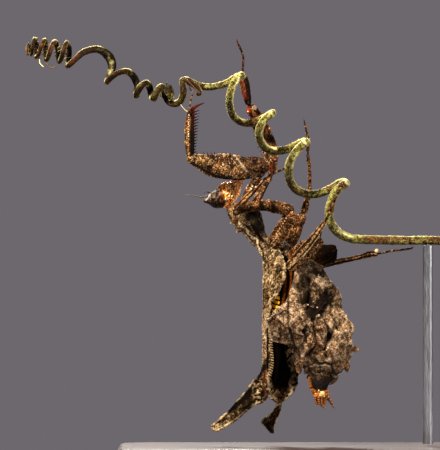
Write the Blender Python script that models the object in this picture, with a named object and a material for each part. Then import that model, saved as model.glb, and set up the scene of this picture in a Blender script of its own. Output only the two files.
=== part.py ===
"""Adult female dead-leaf mantis (Acanthops) hanging from a coiled tendril, life size, on a plain stand.

Lengths are in millimetres up to the function mesh_object, which turns them into metres. X runs from the
back of the hanging insect to its belly, -Y is its right side and +Z is up. The origin is on the underside
of the stand's base.
"""

from functools import partial

import bmesh
import bpy
import numpy as np
from mathutils import Vector, noise

MM = 0.001
GAP = 0.3
RIGHT = -1
LEFT = 1

# Stand
BASE_LENGTH = 54.0
BASE_DEPTH = 36.0
BASE_THICKNESS = 3.0
BASE_CENTRE_X = 0.5
BASE_CORNER = 5.0
BASE_BEVEL = 0.6
ROD_X = 21.2
ROD_RADIUS = 0.8
ROD_SADDLE = 0.4
STEM_Z = 34.7

# Tendril: its radius at the cut stem and where the wide loops end
STEM_RADIUS = 0.72
WIDE_END_RADIUS = 0.57
TENDRIL_SIDES = 8

# Insect
WING_THICKNESS = 0.5
VEIN_HEIGHT = 0.22
SPINE_SIDES = 4
SPINE_SINK = 0.35


# Meshes as plain lists

def unit(vectors):
    return vectors / np.linalg.norm(vectors, axis=-1, keepdims=True)


def spline(stations, count):
    """Smooth curve through the stations, read at count places evenly spread along it."""
    points = np.array(stations, float)
    padded = np.vstack([2 * points[0] - points[1], points, 2 * points[-1] - points[-2]])
    fine = []
    for before, start, end, after in zip(padded, padded[1:], padded[2:], padded[3:]):
        t = np.linspace(0, 1, 16, endpoint=False)[:, None]
        fine.append(0.5 * (2 * start + (end - before) * t
                           + (2 * before - 5 * start + 4 * end - after) * t**2
                           + (3 * start - before - 3 * end + after) * t**3))
    fine = np.vstack(fine + [points[-1:]])
    steps = np.linalg.norm(np.diff(fine[:, :3], axis=0), axis=1)
    length = np.concatenate([[0], np.cumsum(steps)])
    wanted = np.linspace(0, length[-1], count)
    return np.column_stack([np.interp(wanted, length, column) for column in fine.T])


def outward(vertices, faces):
    """The same closed mesh with its faces pointing out."""
    volume = 0.0
    for face in faces:
        for second, third in zip(face[1:], face[2:]):
            volume += np.dot(vertices[face[0]], np.cross(vertices[second], vertices[third]))
    return vertices, [face[::-1] for face in faces] if volume < 0 else faces


def skin_rings(rings, start_cap, end_cap):
    """Closed mesh over a row of rings, with one point closing each end."""
    count, sides = rings.shape[:2]
    vertices = np.vstack([rings.reshape(-1, 3), start_cap, end_cap])
    first, last = count * sides, count * sides + 1
    faces = []
    for j in range(sides):
        k = (j + 1) % sides
        for i in range(count - 1):
            row, following = i * sides, (i + 1) * sides
            faces.append((row + j, row + k, following + k))
            faces.append((row + j, following + k, following + j))
        faces.append((first, k, j))
        faces.append((last, (count - 1) * sides + j, (count - 1) * sides + k))
    return outward(vertices, faces)


def limb(stations, rings=8, sides=8, flat=(0, 1, 0), rough=0.0, cap=0.4, grow=0.0):
    """Closed solid along a smooth path.

    A station is (x, y, z, half width, half thickness), and flat is the direction of the thickness.
    rough swells and pinches the outline by that share, and grow moves the whole surface outwards.
    """
    path = spline(stations, rings)
    centre = path[:, :3]
    tangent = unit(np.gradient(centre, axis=0))
    centre[0] -= tangent[0] * grow
    centre[-1] += tangent[-1] * grow
    flat = np.array(flat, float)
    thick = unit(flat - (tangent @ flat)[:, None] * tangent)
    wide = np.cross(thick, tangent)
    angle = 2 * np.pi * np.arange(sides) / sides
    spread = (np.cos(angle)[None, :, None] * (wide * path[:, 3:4])[:, None, :]
              + np.sin(angle)[None, :, None] * (thick * path[:, 4:5])[:, None, :])
    if rough:
        for i in range(rings):
            for j in range(sides):
                place = Vector(centre[i] + spread[i, j])
                spread[i, j] *= 1 + rough * noise.noise(place * 0.45)
    if grow:
        spread += unit(spread) * grow
    ends = cap * np.minimum(path[[0, -1], 3], path[[0, -1], 4])
    return skin_rings(centre[:, None, :] + spread,
                      centre[0] - tangent[0] * ends[0],
                      centre[-1] + tangent[-1] * ends[1])


def spine(root, tip, radius, bend=(0, 0, 0), grow=0.0):
    """Tapered spine from a point inside its carrier to its tip, bowed by bend at the middle."""
    root, tip, bend = (np.array(v, float) for v in (root, tip, bend))
    middle = 0.5 * (root + tip) + bend
    tangent = unit(tip - root)
    side = unit(np.cross(tangent, (0.31, 0.87, 0.38)))
    other = np.cross(tangent, side)
    angle = 2 * np.pi * np.arange(SPINE_SIDES) / SPINE_SIDES
    circle = np.cos(angle)[:, None] * side + np.sin(angle)[:, None] * other
    rings = np.array([root + circle * (radius + grow), middle + circle * (0.7 * radius + grow)])
    return skin_rings(rings, root - tangent * (0.1 * radius + grow), tip + tangent * grow)


def leaf(rows, side, along=22, across=8, midrib=3, bulge=1.0, crumple=0.2, grow=0.0):
    """Thin curved sheet with raised veins.

    A row is (x, y, z) of one edge, (x, y, z) of the other, and how far the middle bulges to that side.
    """
    path = spline(rows, along)
    share = np.linspace(0, 1, across + 1)[None, :, None]
    middle = path[:, None, 0:3] * (1 - share) + path[:, None, 3:6] * share
    middle[:, :, 1] += side * bulge * path[:, 6:7] * np.sin(np.pi * share[:, :, 0])
    for i in range(along):
        for j in range(across + 1):
            fold = noise.noise(Vector(middle[i, j]) * 0.3)
            middle[i, j, 1] += crumple * fold * np.sin(np.pi * j / across) * side
    down = unit(np.gradient(middle, axis=0))
    over = unit(np.gradient(middle, axis=1))
    normal = unit(np.cross(down, over))
    if np.sum(normal[:, :, 1]) * side < 0:
        normal = -normal
    if grow:
        middle[0] -= down[0] * grow
        middle[-1] += down[-1] * grow
        middle[:, 0] -= over[:, 0] * grow
        middle[:, -1] += over[:, -1] * grow
    i, j = np.indices(middle.shape[:2])
    rib = np.abs(j - midrib)
    vein = (rib == 0) | (((i - rib) % 4 == 0) & (j > 0) & (j < across))
    raised = VEIN_HEIGHT * (vein & (i > 0) & (i < along - 1))
    half = WING_THICKNESS / 2 + grow
    front = middle + normal * (half + raised)[:, :, None]
    back = middle - normal * half
    columns = across + 1
    total = along * columns
    vertices = np.vstack([front.reshape(-1, 3), back.reshape(-1, 3)])
    faces = []
    for a in range(along - 1):
        for b in range(across):
            corner = a * columns + b
            right, below, beyond = corner + 1, corner + columns, corner + columns + 1
            if b >= midrib:
                pair = ((corner, right, beyond), (corner, beyond, below))
            else:
                pair = ((corner, right, below), (right, beyond, below))
            for face in pair:
                faces.append(face)
                faces.append(tuple(point + total for point in face[::-1]))
    rim = [b for b in range(columns)]
    rim += [a * columns + across for a in range(1, along)]
    rim += [(along - 1) * columns + b for b in range(across - 1, -1, -1)]
    rim += [a * columns for a in range(along - 2, 0, -1)]
    for here, following in zip(rim, rim[1:] + rim[:1]):
        faces.append((following, here, here + total))
        faces.append((following, here + total, following + total))
    return outward(vertices, faces)


# Blender objects

finished = []


def mesh_object(name, mesh):
    vertices, faces = mesh
    data = bpy.data.meshes.new(name)
    data.from_pydata([Vector(v) * MM for v in vertices], [], faces)
    data.update()
    obj = bpy.data.objects.new(name, data)
    bpy.context.scene.collection.objects.link(obj)
    return obj


def box_of(mesh):
    return mesh[0].min(axis=0), mesh[0].max(axis=0)


def meets(first, second):
    return bool(np.all(first[0] <= second[1]) and np.all(second[0] <= first[1]))


def apply_boolean(obj, meshes, operation):
    """Joins the meshes to the object or cuts them from it, then removes them."""
    group = bpy.data.collections.new("group")
    bpy.context.scene.collection.children.link(group)
    helpers = []
    for mesh in meshes:
        helper = mesh_object("helper", mesh)
        bpy.context.scene.collection.objects.unlink(helper)
        group.objects.link(helper)
        helpers.append(helper)
    modifier = obj.modifiers.new("Boolean", "BOOLEAN")
    modifier.operation = operation
    modifier.operand_type = "COLLECTION"
    modifier.collection = group
    modifier.solver = "MANIFOLD"
    graph = bpy.context.evaluated_depsgraph_get()
    result = bpy.data.meshes.new_from_object(obj.evaluated_get(graph))
    obj.modifiers.clear()
    old = [obj.data] + [helper.data for helper in helpers]
    obj.data = result
    for helper in helpers:
        bpy.data.objects.remove(helper)
    for data in old:
        bpy.data.meshes.remove(data)
    bpy.data.collections.remove(group)
    result.name = obj.name


def keep_largest(obj):
    """Leaves only the largest closed surface of the object's mesh."""
    work = bmesh.new()
    work.from_mesh(obj.data)
    unseen = set(work.verts)
    islands = []
    while unseen:
        front = [unseen.pop()]
        island = set(front)
        while front:
            for edge in front.pop().link_edges:
                for vertex in edge.verts:
                    if vertex in unseen:
                        unseen.discard(vertex)
                        island.add(vertex)
                        front.append(vertex)
        islands.append(island)
    if len(islands) > 1:
        def area(island):
            return sum(face.calc_area() for face in {f for v in island for f in v.link_faces})
        islands.sort(key=area)
        for island in islands[:-1]:
            bmesh.ops.delete(work, geom=list(island), context="VERTS")
    work.to_mesh(obj.data)
    work.free()


def material(name, colour, roughness, metallic=0.0):
    made = bpy.data.materials.get(name) or bpy.data.materials.new(name)
    made.use_nodes = True
    shader = made.node_tree.nodes["Principled BSDF"]
    shader.inputs["Base Color"].default_value = (*colour, 1)
    shader.inputs["Roughness"].default_value = roughness
    shader.inputs["Metallic"].default_value = metallic
    return made


def set_origin(obj, origin):
    origin = Vector(origin) * MM
    for vertex in obj.data.vertices:
        vertex.co -= origin
    obj.location = origin


def node(name, pieces, origin, look):
    """One named sub-part: its pieces fused, and cut clear of every sub-part made before it."""
    meshes = [piece() for piece in pieces]
    obj = mesh_object(name, meshes[0])
    if len(meshes) > 1:
        apply_boolean(obj, meshes[1:], "UNION")
    reach = [box_of(mesh) for mesh in meshes]
    cutters = [mesh for mesh, box in finished if any(meets(box, own) for own in reach)]
    if cutters:
        apply_boolean(obj, cutters, "DIFFERENCE")
    keep_largest(obj)
    grown = [piece(grow=GAP) for piece in pieces]
    finished.extend((mesh, box_of(mesh)) for mesh in grown)
    set_origin(obj, origin)
    obj.data.materials.append(look)
    obj.data.shade_smooth()
    obj.data.set_sharp_from_angle(angle=0.9)
    return obj


# Looks

def looks():
    return {
        "bark": material("bark_brown", (0.16, 0.10, 0.06), 0.7),
        "orange": material("orange_brown", (0.45, 0.16, 0.04), 0.4),
        "leaf": material("dead_leaf", (0.20, 0.14, 0.09), 0.8),
        "dark": material("dark_brown", (0.06, 0.03, 0.02), 0.6),
        "tendril": material("tendril_green", (0.33, 0.35, 0.13), 0.7),
        "base": material("stand_wood", (0.05, 0.035, 0.03), 0.5),
        "rod": material("stand_steel", (0.5, 0.5, 0.5), 0.3, 1.0),
    }


# Stand

def stand_base(look):
    work = bmesh.new()
    bmesh.ops.create_cube(work, size=1)
    for vertex in work.verts:
        vertex.co = Vector((vertex.co.x * BASE_LENGTH + BASE_CENTRE_X, vertex.co.y * BASE_DEPTH,
                            (vertex.co.z + 0.5) * BASE_THICKNESS)) * MM
    upright = [e for e in work.edges if abs(e.verts[0].co.z - e.verts[1].co.z) > 1e-4]
    bmesh.ops.bevel(work, geom=upright, offset=BASE_CORNER * MM, segments=6, profile=0.5, affect="EDGES")
    top = [e for e in work.edges if all(v.co.z > (BASE_THICKNESS - 0.01) * MM for v in e.verts)]
    bmesh.ops.bevel(work, geom=top, offset=BASE_BEVEL * MM, segments=2, profile=0.5, affect="EDGES")
    data = bpy.data.meshes.new("stand_base")
    work.to_mesh(data)
    work.free()
    obj = bpy.data.objects.new("stand_base", data)
    bpy.context.scene.collection.objects.link(obj)
    data.materials.append(look)
    data.shade_smooth()
    data.set_sharp_from_angle(angle=0.6)
    return obj


def stand_rod(look):
    foot = (ROD_X, 0, BASE_THICKNESS + GAP, ROD_RADIUS, ROD_RADIUS)
    top = (ROD_X, 0, STEM_Z - STEM_RADIUS + ROD_SADDLE, ROD_RADIUS, ROD_RADIUS)
    return node("stand_rod", [partial(limb, (foot, top), rings=2, sides=16, cap=0.0)],
                (ROD_X, 0, BASE_THICKNESS), look)


# Tendril

# Stem and wide loops from right to left: (x, y, z)
WIDE_ROUTE = (
    (26.0, 0.0, 34.5), (21.5, 0.0, 34.6), (16.9, 0.0, 34.6), (12.3, -0.1, 34.7), (9.5, -0.5, 34.9),
    (7.4, -1.3, 35.8), (6.1, -2.0, 37.5), (6.0, -2.5, 39.2), (6.3, -2.6, 40.5), (6.8, -2.3, 41.8),
    (7.7, -1.4, 42.8), (8.5, 0.0, 43.4), (7.7, 1.5, 43.4), (6.2, 2.4, 42.5), (4.3, 2.6, 41.8),
    (2.5, 2.2, 41.8), (0.9, 1.2, 42.5), (-0.0, 0.0, 43.8), (-0.2, -1.2, 45.5), (0.3, -2.2, 47.3),
    (1.4, -1.6, 48.8), (2.5, 0.0, 49.8), (1.5, 1.4, 49.5), (0.0, 2.3, 48.8), (-1.8, 2.6, 48.4),
    (-3.4, 2.0, 48.6), (-4.5, 0.6, 49.8), (-4.8, -1.0, 51.3), (-4.3, -1.9, 52.6), (-3.5, -1.3, 53.6),
    (-2.7, 0.0, 54.2), (-3.4, 1.3, 53.8), (-4.8, 2.2, 53.1), (-6.3, 2.6, 52.7), (-7.8, 2.0, 53.0),
    (-8.9, 0.8, 54.1), (-9.3, -0.8, 55.6), (-9.2, -2.0, 57.2), (-8.7, -1.8, 58.7), (-8.0, -1.0, 59.6),
    (-7.4, 0.2, 60.0), (-8.3, 1.3, 59.7), (-9.8, 1.9, 58.8), (-11.7, 1.7, 58.3), (-13.4, 1.4, 58.3),
)
# Small loops, onwards to the left: (x, y, z, radius)
SMALL_ROUTE = (
    (-14.3, 1.1, 58.6, 0.57), (-15.2, 0.7, 59.0, 0.57), (-15.9, 0.3, 59.3, 0.57), (-16.5, -0.4, 59.2, 0.57),
    (-16.5, -1.1, 58.6, 0.58), (-16.4, -1.5, 57.7, 0.6), (-16.5, -1.4, 56.8, 0.6), (-16.9, -0.8, 56.0, 0.58),
    (-17.7, 0.0, 55.6, 0.57), (-18.5, 0.8, 55.9, 0.56), (-19.1, 1.4, 56.7, 0.56), (-19.3, 1.4, 57.5, 0.58),
    (-19.4, 0.8, 58.0, 0.6), (-19.8, 0.0, 58.2, 0.62), (-20.4, -0.9, 57.6, 0.63), (-20.7, -1.2, 57.0, 0.62),
    (-21.0, -0.6, 56.5, 0.6), (-21.3, 0.6, 57.0, 0.56), (-21.5, 1.2, 57.9, 0.55), (-21.7, 0.8, 58.5, 0.55),
    (-22.1, 0.0, 58.8, 0.56), (-22.7, -0.8, 58.5, 0.56), (-23.2, -1.3, 57.9, 0.56), (-23.5, -1.0, 57.3, 0.56),
    (-23.6, -0.2, 56.9, 0.55), (-23.6, 0.8, 57.6, 0.55), (-23.5, 1.5, 58.4, 0.56), (-23.8, 1.8, 59.3, 0.6),
    (-24.2, 1.3, 60.0, 0.58), (-24.9, 0.4, 60.5, 0.54), (-25.5, -0.4, 60.6, 0.52), (-26.4, -1.2, 60.4, 0.53),
    (-27.2, -1.6, 59.9, 0.55), (-27.9, -1.2, 59.3, 0.56), (-28.1, -0.3, 59.0, 0.55), (-28.0, 0.7, 59.6, 0.56),
    (-27.6, 1.5, 60.5, 0.6), (-27.4, 2.0, 61.5, 0.72), (-27.6, 1.9, 62.5, 0.78), (-28.2, 1.4, 63.3, 0.76),
    (-29.0, 0.7, 63.8, 0.7), (-30.0, -0.1, 64.0, 0.66), (-31.0, -0.9, 63.8, 0.61), (-32.0, -1.5, 63.3, 0.55),
    (-33.0, -1.7, 62.4, 0.52), (-33.8, -1.2, 61.7, 0.5), (-34.2, -0.3, 61.5, 0.48), (-34.1, 0.8, 62.2, 0.46),
    (-34.0, 1.4, 63.4, 0.45), (-34.0, 1.1, 64.4, 0.45),
)
# Turning points of the coil: x, z and radius, by turns at its top and at its foot
COIL_TURNS = (
    (-34.3, 65.0, 0.45), (-35.5, 62.1, 0.44), (-36.1, 65.2, 0.43), (-37.5, 62.4, 0.43),
    (-37.7, 65.4, 0.42), (-39.0, 62.8, 0.41), (-39.2, 65.7, 0.38), (-39.8, 63.2, 0.31),
)
COIL_DEPTH = 1.4
COIL_END = (
    (-39.8, 0.3, 63.2, 0.3), (-40.0, 0.9, 64.2, 0.29), (-40.2, 0.5, 64.9, 0.28), (-40.35, -0.1, 64.6, 0.28),
    (-40.4, -0.4, 63.9, 0.27), (-40.35, -0.5, 63.2, 0.26),
)
HALF_TURN_POINTS = 7
# Points of the two routes where one length of the tendril ends and the next begins
WIDE_LENGTH_ENDS = (10, 21, 40)
SMALL_LENGTH_ENDS = (8, 46)
# Short side shoot that hooks over the last wide loop
HOOK = (
    (-16.2, -0.9, 59.1, 0.4, 0.4), (-15.4, -0.7, 58.9, 0.45, 0.45), (-14.6, -0.4, 58.4, 0.45, 0.45),
    (-14.0, -0.3, 57.8, 0.4, 0.4), (-13.8, -0.4, 57.3, 0.33, 0.33), (-14.2, -0.5, 57.1, 0.27, 0.27),
)


def coil():
    """Points of the coil, each half turn once in front of its axis and once behind it."""
    points = []
    depth = -COIL_DEPTH
    for start, end in zip(COIL_TURNS, COIL_TURNS[1:]):
        for k in range(HALF_TURN_POINTS):
            share = k / HALF_TURN_POINTS
            x = start[0] + (end[0] - start[0]) * share
            z = start[1] + (end[1] - start[1]) * (1 - np.cos(np.pi * share)) / 2
            radius = start[2] + (end[2] - start[2]) * share
            points.append((x, depth * np.sin(np.pi * share), z, radius))
        depth = -depth
    return tuple(points)


def twisted_tube(stations, rings, grow=0.0):
    """Round tube whose rings turn as little as they can from one to the next."""
    path = spline(stations, rings)
    centre, radius = path[:, :3], path[:, 3] + grow
    tangent = unit(np.gradient(centre, axis=0))
    centre[0] -= tangent[0] * grow
    centre[-1] += tangent[-1] * grow
    side = unit(np.cross(tangent[0], (0.0, 0.0, 1.0)))
    angle = 2 * np.pi * np.arange(TENDRIL_SIDES) / TENDRIL_SIDES
    made = []
    for place, along, size in zip(centre, tangent, radius):
        side = unit(side - np.dot(side, along) * along)
        other = np.cross(along, side)
        made.append(place + size * (np.cos(angle)[:, None] * side + np.sin(angle)[:, None] * other))
    return skin_rings(np.array(made), centre[0], centre[-1])


def tendril_length(name, route, spacing, look, extra=()):
    """One length of the tendril as a smooth round tube, with its side shoots."""
    route = np.array(route)
    length = np.sum(np.linalg.norm(np.diff(route[:, :3], axis=0), axis=1))
    rings = int(length / spacing) + 2
    node(name, [partial(twisted_tube, route, rings), *extra], route[0, :3], look)


def tendril(look):
    sizes = np.linspace(STEM_RADIUS, WIDE_END_RADIUS, len(WIDE_ROUTE))
    wide = tuple((*point, size) for point, size in zip(WIDE_ROUTE, sizes))
    first, second, third = WIDE_LENGTH_ENDS
    fourth, fifth = SMALL_LENGTH_ENDS
    hook = partial(limb, HOOK, rings=7, sides=6)
    tendril_length("perch_stem", wide[:first + 1], 1.3, look)
    tendril_length("perch_loop_1", wide[first:second + 1], 1.1, look)
    tendril_length("perch_loop_2", wide[second:third + 1], 1.1, look)
    tendril_length("perch_loop_3", wide[third:] + SMALL_ROUTE[:fourth + 1], 0.9, look, [hook])
    tendril_length("perch_loop_4", SMALL_ROUTE[fourth:fifth + 1], 0.8, look)
    tendril_length("perch_coil", SMALL_ROUTE[fifth:] + coil() + COIL_END, 0.8, look)


# Trunk and head

THORAX = (
    (-3.8, 0.0, 34.1, 1.4, 1.5), (-2.6, 0.0, 33.0, 2.0, 2.0), (-0.9, 0.0, 32.1, 2.1, 2.1),
    (0.3, 0.0, 31.3, 1.8, 1.8),
)
ABDOMEN = (
    (1.2, 0.0, 31.0, 1.4, 1.5), (2.5, 0.0, 29.6, 2.4, 2.4), (3.2, 0.0, 27.6, 3.3, 3.0),
    (3.7, 0.0, 25.3, 3.9, 3.4), (3.8, 0.0, 22.7, 4.4, 3.6), (4.5, 0.0, 19.6, 4.7, 3.6),
    (5.1, 0.0, 17.0, 4.3, 3.2), (5.4, 0.0, 15.0, 3.3, 2.6), (5.4, 0.0, 13.8, 2.2, 2.0),
)
ABDOMEN_LOBES = (
    ((7.4, -0.6, 22.1, 1.2, 0.8), (9.2, -0.8, 21.6, 0.8, 0.45), (10.2, -0.8, 20.4, 0.3, 0.25)),
    ((8.0, 0.4, 19.3, 1.2, 0.8), (9.4, 0.2, 18.2, 0.7, 0.45), (10.4, 0.2, 17.8, 0.25, 0.25)),
    ((7.4, -0.6, 17.5, 1.4, 0.9), (8.8, -0.8, 15.9, 1.1, 0.5), (9.1, -1.0, 14.4, 0.3, 0.25)),
    ((2.2, -1.2, 17.5, 1.4, 0.8), (1.4, -1.6, 15.9, 0.9, 0.45), (1.4, -1.6, 14.4, 0.3, 0.25)),
    ((6.2, 0.5, 27.0, 1.2, 0.8), (7.4, 0.8, 27.5, 0.7, 0.4), (7.8, 0.8, 28.1, 0.25, 0.25)),
)
# Leaf-like lobe that runs down the abdomen's right side and folds over the wing's edge
ABDOMEN_FLAP = (
    (2.1, -1.9, 30.4, 1.2, 0.6), (1.7, -2.6, 28.4, 1.2, 0.6), (1.4, -3.0, 26.5, 1.4, 0.6),
    (0.8, -3.2, 25.0, 1.5, 0.55), (-0.1, -3.5, 23.6, 1.7, 0.45), (-1.3, -3.7, 22.2, 2.0, 0.35),
    (-1.6, -3.7, 21.0, 1.8, 0.35), (-0.9, -3.5, 19.9, 1.3, 0.35), (0.1, -3.2, 19.2, 0.7, 0.3),
)
ABDOMEN_CRUMPLE = 0.18
ABDOMEN_TIP = (
    (4.3, 0.0, 13.6, 1.6, 1.5), (4.5, 0.0, 12.1, 1.4, 1.3), (4.7, 0.0, 10.9, 1.15, 1.0),
    (4.8, 0.0, 9.8, 0.8, 0.7),
)
CERCUS = ((5.4, 0.0, 10.8, 0.5, 0.4), (6.2, 0.0, 9.8, 0.4, 0.35), (6.8, 0.0, 8.8, 0.2, 0.2))
VALVE = ((4.3, 0.0, 10.4, 0.6, 0.4), (4.9, 0.0, 9.3, 0.4, 0.3), (5.5, 0.0, 8.7, 0.2, 0.2))

PROTHORAX = (
    (-9.1, 0.0, 39.6, 0.9, 0.9), (-8.2, 0.0, 39.0, 1.6, 1.6), (-6.8, 0.0, 38.1, 2.3, 2.3),
    (-5.8, 0.0, 36.7, 1.8, 1.9), (-5.1, 0.0, 35.3, 1.4, 1.5), (-4.3, 0.0, 34.4, 1.2, 1.4),
)
# Spikes, palps and claws: root, tip and radius
NECK_SPIKES = (
    ((-7.2, -1.0, 36.5), (-8.3, -1.4, 35.8), 0.5), ((-8.0, -1.4, 37.9), (-9.2, -1.9, 37.2), 0.55),
    ((-7.2, 1.0, 36.5), (-8.2, 1.4, 35.9), 0.5), ((-8.0, 1.4, 37.9), (-9.2, 1.9, 37.2), 0.55),
)
COLLAR_TEETH = 6
COLLAR_TOOTH = 0.55
COLLAR_TOOTH_RADIUS = 0.3

HEAD = (
    (-11.7, 0.0, 40.2, 0.6, 1.1), (-10.9, 0.0, 40.8, 1.35, 1.7), (-9.8, 0.0, 41.8, 1.7, 1.7),
    (-8.9, 0.0, 42.6, 1.4, 1.2), (-8.3, 0.0, 43.4, 0.8, 0.8),
)
EYE = (
    (-10.5, 1.1, 41.1, 1.4, 1.0), (-11.5, 1.7, 41.0, 1.3, 1.1), (-12.4, 2.3, 40.9, 0.75, 0.7),
    (-13.2, 2.8, 40.6, 0.22, 0.22),
)
PALPS = (
    ((-7.9, -0.5, 43.8), (-8.2, -0.9, 44.7), 0.3), ((-7.6, -0.2, 43.9), (-7.1, -0.5, 44.8), 0.3),
    ((-7.9, 0.5, 43.8), (-8.2, 0.9, 44.7), 0.3), ((-7.6, 0.2, 43.9), (-7.1, 0.5, 44.8), 0.3),
)
LABRUM = ((-8.0, 0.0, 43.6, 0.85, 0.75), (-7.7, 0.0, 44.0, 0.7, 0.6), (-7.3, 0.0, 44.3, 0.35, 0.35))
ANTENNA_RIGHT = (
    (-12.0, -0.5, 41.8, 0.3, 0.3), (-13.4, -1.4, 41.3, 0.27, 0.27), (-14.8, -2.1, 41.5, 0.22, 0.22),
    (-16.3, -2.7, 41.6, 0.12, 0.12),
)
ANTENNA_LEFT = (
    (-12.0, 0.5, 41.8, 0.3, 0.3), (-12.8, 1.9, 42.1, 0.27, 0.27), (-13.1, 3.3, 42.2, 0.22, 0.22),
    (-13.2, 4.9, 41.9, 0.12, 0.12),
)


def mirrored(stations):
    return tuple((x, -y, z, *sizes) for x, y, z, *sizes in stations)


def collar_teeth(side):
    """Teeth along the widened edge of the prothorax."""
    edge = spline(PROTHORAX, COLLAR_TEETH + 3)[1:-2]
    pieces = []
    for x, y, z, wide, thick in edge:
        root = np.array((x, side * thick * 0.7, z))
        tip = root + np.array((-0.3, side * (0.3 * thick + COLLAR_TOOTH), -0.25))
        pieces.append(partial(spine, root, tip, COLLAR_TOOTH_RADIUS))
    return pieces


def trunk(look):
    node("thorax", [partial(limb, THORAX, rings=7, sides=12)], THORAX[0][:3], look["bark"])
    teeth = collar_teeth(RIGHT) + collar_teeth(LEFT)
    spikes = [partial(spine, root, tip, size) for root, tip, size in NECK_SPIKES]
    node("prothorax", [partial(limb, PROTHORAX, rings=10, sides=12)] + teeth + spikes,
         PROTHORAX[-1][:3], look["bark"])
    lobes = [partial(limb, lobe, rings=5, sides=6) for lobe in ABDOMEN_LOBES]
    lobes.append(partial(limb, ABDOMEN_FLAP, rings=12, sides=8))
    node("abdomen", [partial(limb, ABDOMEN, rings=18, sides=18, rough=ABDOMEN_CRUMPLE)] + lobes,
         ABDOMEN[0][:3], look["leaf"])
    tip = [partial(limb, part, rings=5, sides=8) for part in (ABDOMEN_TIP, CERCUS, VALVE)]
    node("abdomen_tip", tip, ABDOMEN_TIP[0][:3], look["orange"])
    node("head", [partial(limb, HEAD, rings=9, sides=12)], PROTHORAX[0][:3], look["bark"])
    for name, stations in (("eye_right", mirrored(EYE)), ("eye_left", EYE)):
        node(name, [partial(limb, stations, rings=7, sides=10)], stations[0][:3], look["dark"])
    palps = [partial(spine, root, tip, size) for root, tip, size in PALPS]
    node("mouthparts", [partial(limb, LABRUM, rings=5, sides=8)] + palps, LABRUM[0][:3], look["orange"])
    for name, stations in (("antenna_right", ANTENNA_RIGHT), ("antenna_left", ANTENNA_LEFT)):
        node(name, [partial(limb, stations, rings=8, sides=6)], stations[0][:3], look["bark"])


# Legs

FORE_RIGHT = {
    "coxa": ((-7.5, -2.0, 39.8, 0.6, 0.55), (-6.9, -2.4, 41.0, 0.62, 0.6), (-6.0, -2.6, 42.8, 0.6, 0.55),
             (-5.1, -2.6, 44.2, 0.55, 0.5)),
    "femur": ((-4.2, -2.7, 44.8, 0.55, 0.5), (-5.1, -2.8, 45.2, 0.95, 0.65), (-6.8, -2.9, 45.6, 1.65, 0.75),
              (-9.2, -2.9, 45.9, 1.95, 0.8), (-12.0, -2.9, 46.2, 1.75, 0.75), (-14.0, -2.8, 46.8, 1.1, 0.6),
              (-15.4, -2.8, 47.3, 0.65, 0.5)),
    "tibia": ((-15.5, -2.8, 47.8, 0.5, 0.45), (-15.6, -2.8, 49.8, 0.58, 0.45), (-15.6, -2.8, 52.4, 0.52, 0.4),
              (-15.4, -2.7, 54.4, 0.38, 0.35)),
    "tarsus": ((-15.5, -3.5, 54.2, 0.25, 0.25), (-15.3, -3.3, 55.8, 0.27, 0.25),
               (-15.0, -2.9, 57.2, 0.25, 0.25), (-15.4, -2.5, 57.9, 0.2, 0.2)),
}
FORE_LEFT = {
    "coxa": ((-5.5, 2.2, 39.9, 0.6, 0.55), (-4.9, 2.7, 41.2, 0.6, 0.55), (-4.0, 3.3, 43.0, 0.6, 0.55),
             (-3.2, 3.7, 44.2, 0.5, 0.5)),
    "femur": ((-2.8, 4.2, 45.0, 0.55, 0.5), (-2.8, 4.5, 46.7, 0.9, 0.6), (-3.2, 4.7, 49.0, 1.25, 0.7),
              (-4.2, 4.6, 51.6, 1.2, 0.65), (-5.2, 4.4, 53.9, 0.9, 0.6), (-6.0, 4.3, 55.1, 0.7, 0.55)),
    "tibia": ((-6.4, 4.6, 55.8, 0.45, 0.4), (-6.6, 5.2, 57.0, 0.6, 0.4), (-6.9, 6.0, 58.5, 0.75, 0.4),
              (-7.2, 6.7, 59.9, 0.65, 0.35)),
    "tarsus": ((-7.3, 7.0, 60.4, 0.26, 0.25), (-7.2, 6.8, 61.6, 0.27, 0.25), (-7.2, 6.5, 63.2, 0.25, 0.25),
               (-7.8, 6.1, 64.7, 0.25, 0.22), (-8.1, 6.0, 65.3, 0.15, 0.15)),
}
MID_RIGHT = {
    "coxa": ((-2.6, -2.2, 34.2, 1.0, 0.8), (-1.7, -2.4, 35.6, 1.1, 0.9), (-0.5, -2.2, 37.5, 1.0, 0.85),
             (0.3, -2.0, 38.7, 0.9, 0.8)),
    "femur": ((0.1, -2.1, 39.4, 0.7, 0.7), (-1.1, -2.5, 39.5, 0.9, 0.8), (-3.1, -3.1, 39.9, 0.85, 0.7),
              (-5.4, -3.7, 39.9, 0.7, 0.6), (-7.3, -4.2, 39.4, 0.6, 0.5), (-8.5, -4.4, 38.9, 0.5, 0.45)),
    "tibia": ((-8.3, -4.3, 39.5, 0.4, 0.3), (-7.1, -3.7, 40.7, 0.4, 0.3), (-5.5, -2.9, 42.4, 0.38, 0.28),
              (-4.3, -2.3, 43.8, 0.32, 0.28)),
    "tarsus": ((-4.0, -2.2, 44.0, 0.27, 0.25), (-2.8, -1.9, 44.8, 0.25, 0.25), (-1.7, -1.6, 45.3, 0.27, 0.25),
               (-0.8, -1.3, 45.7, 0.22, 0.22)),
}
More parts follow.
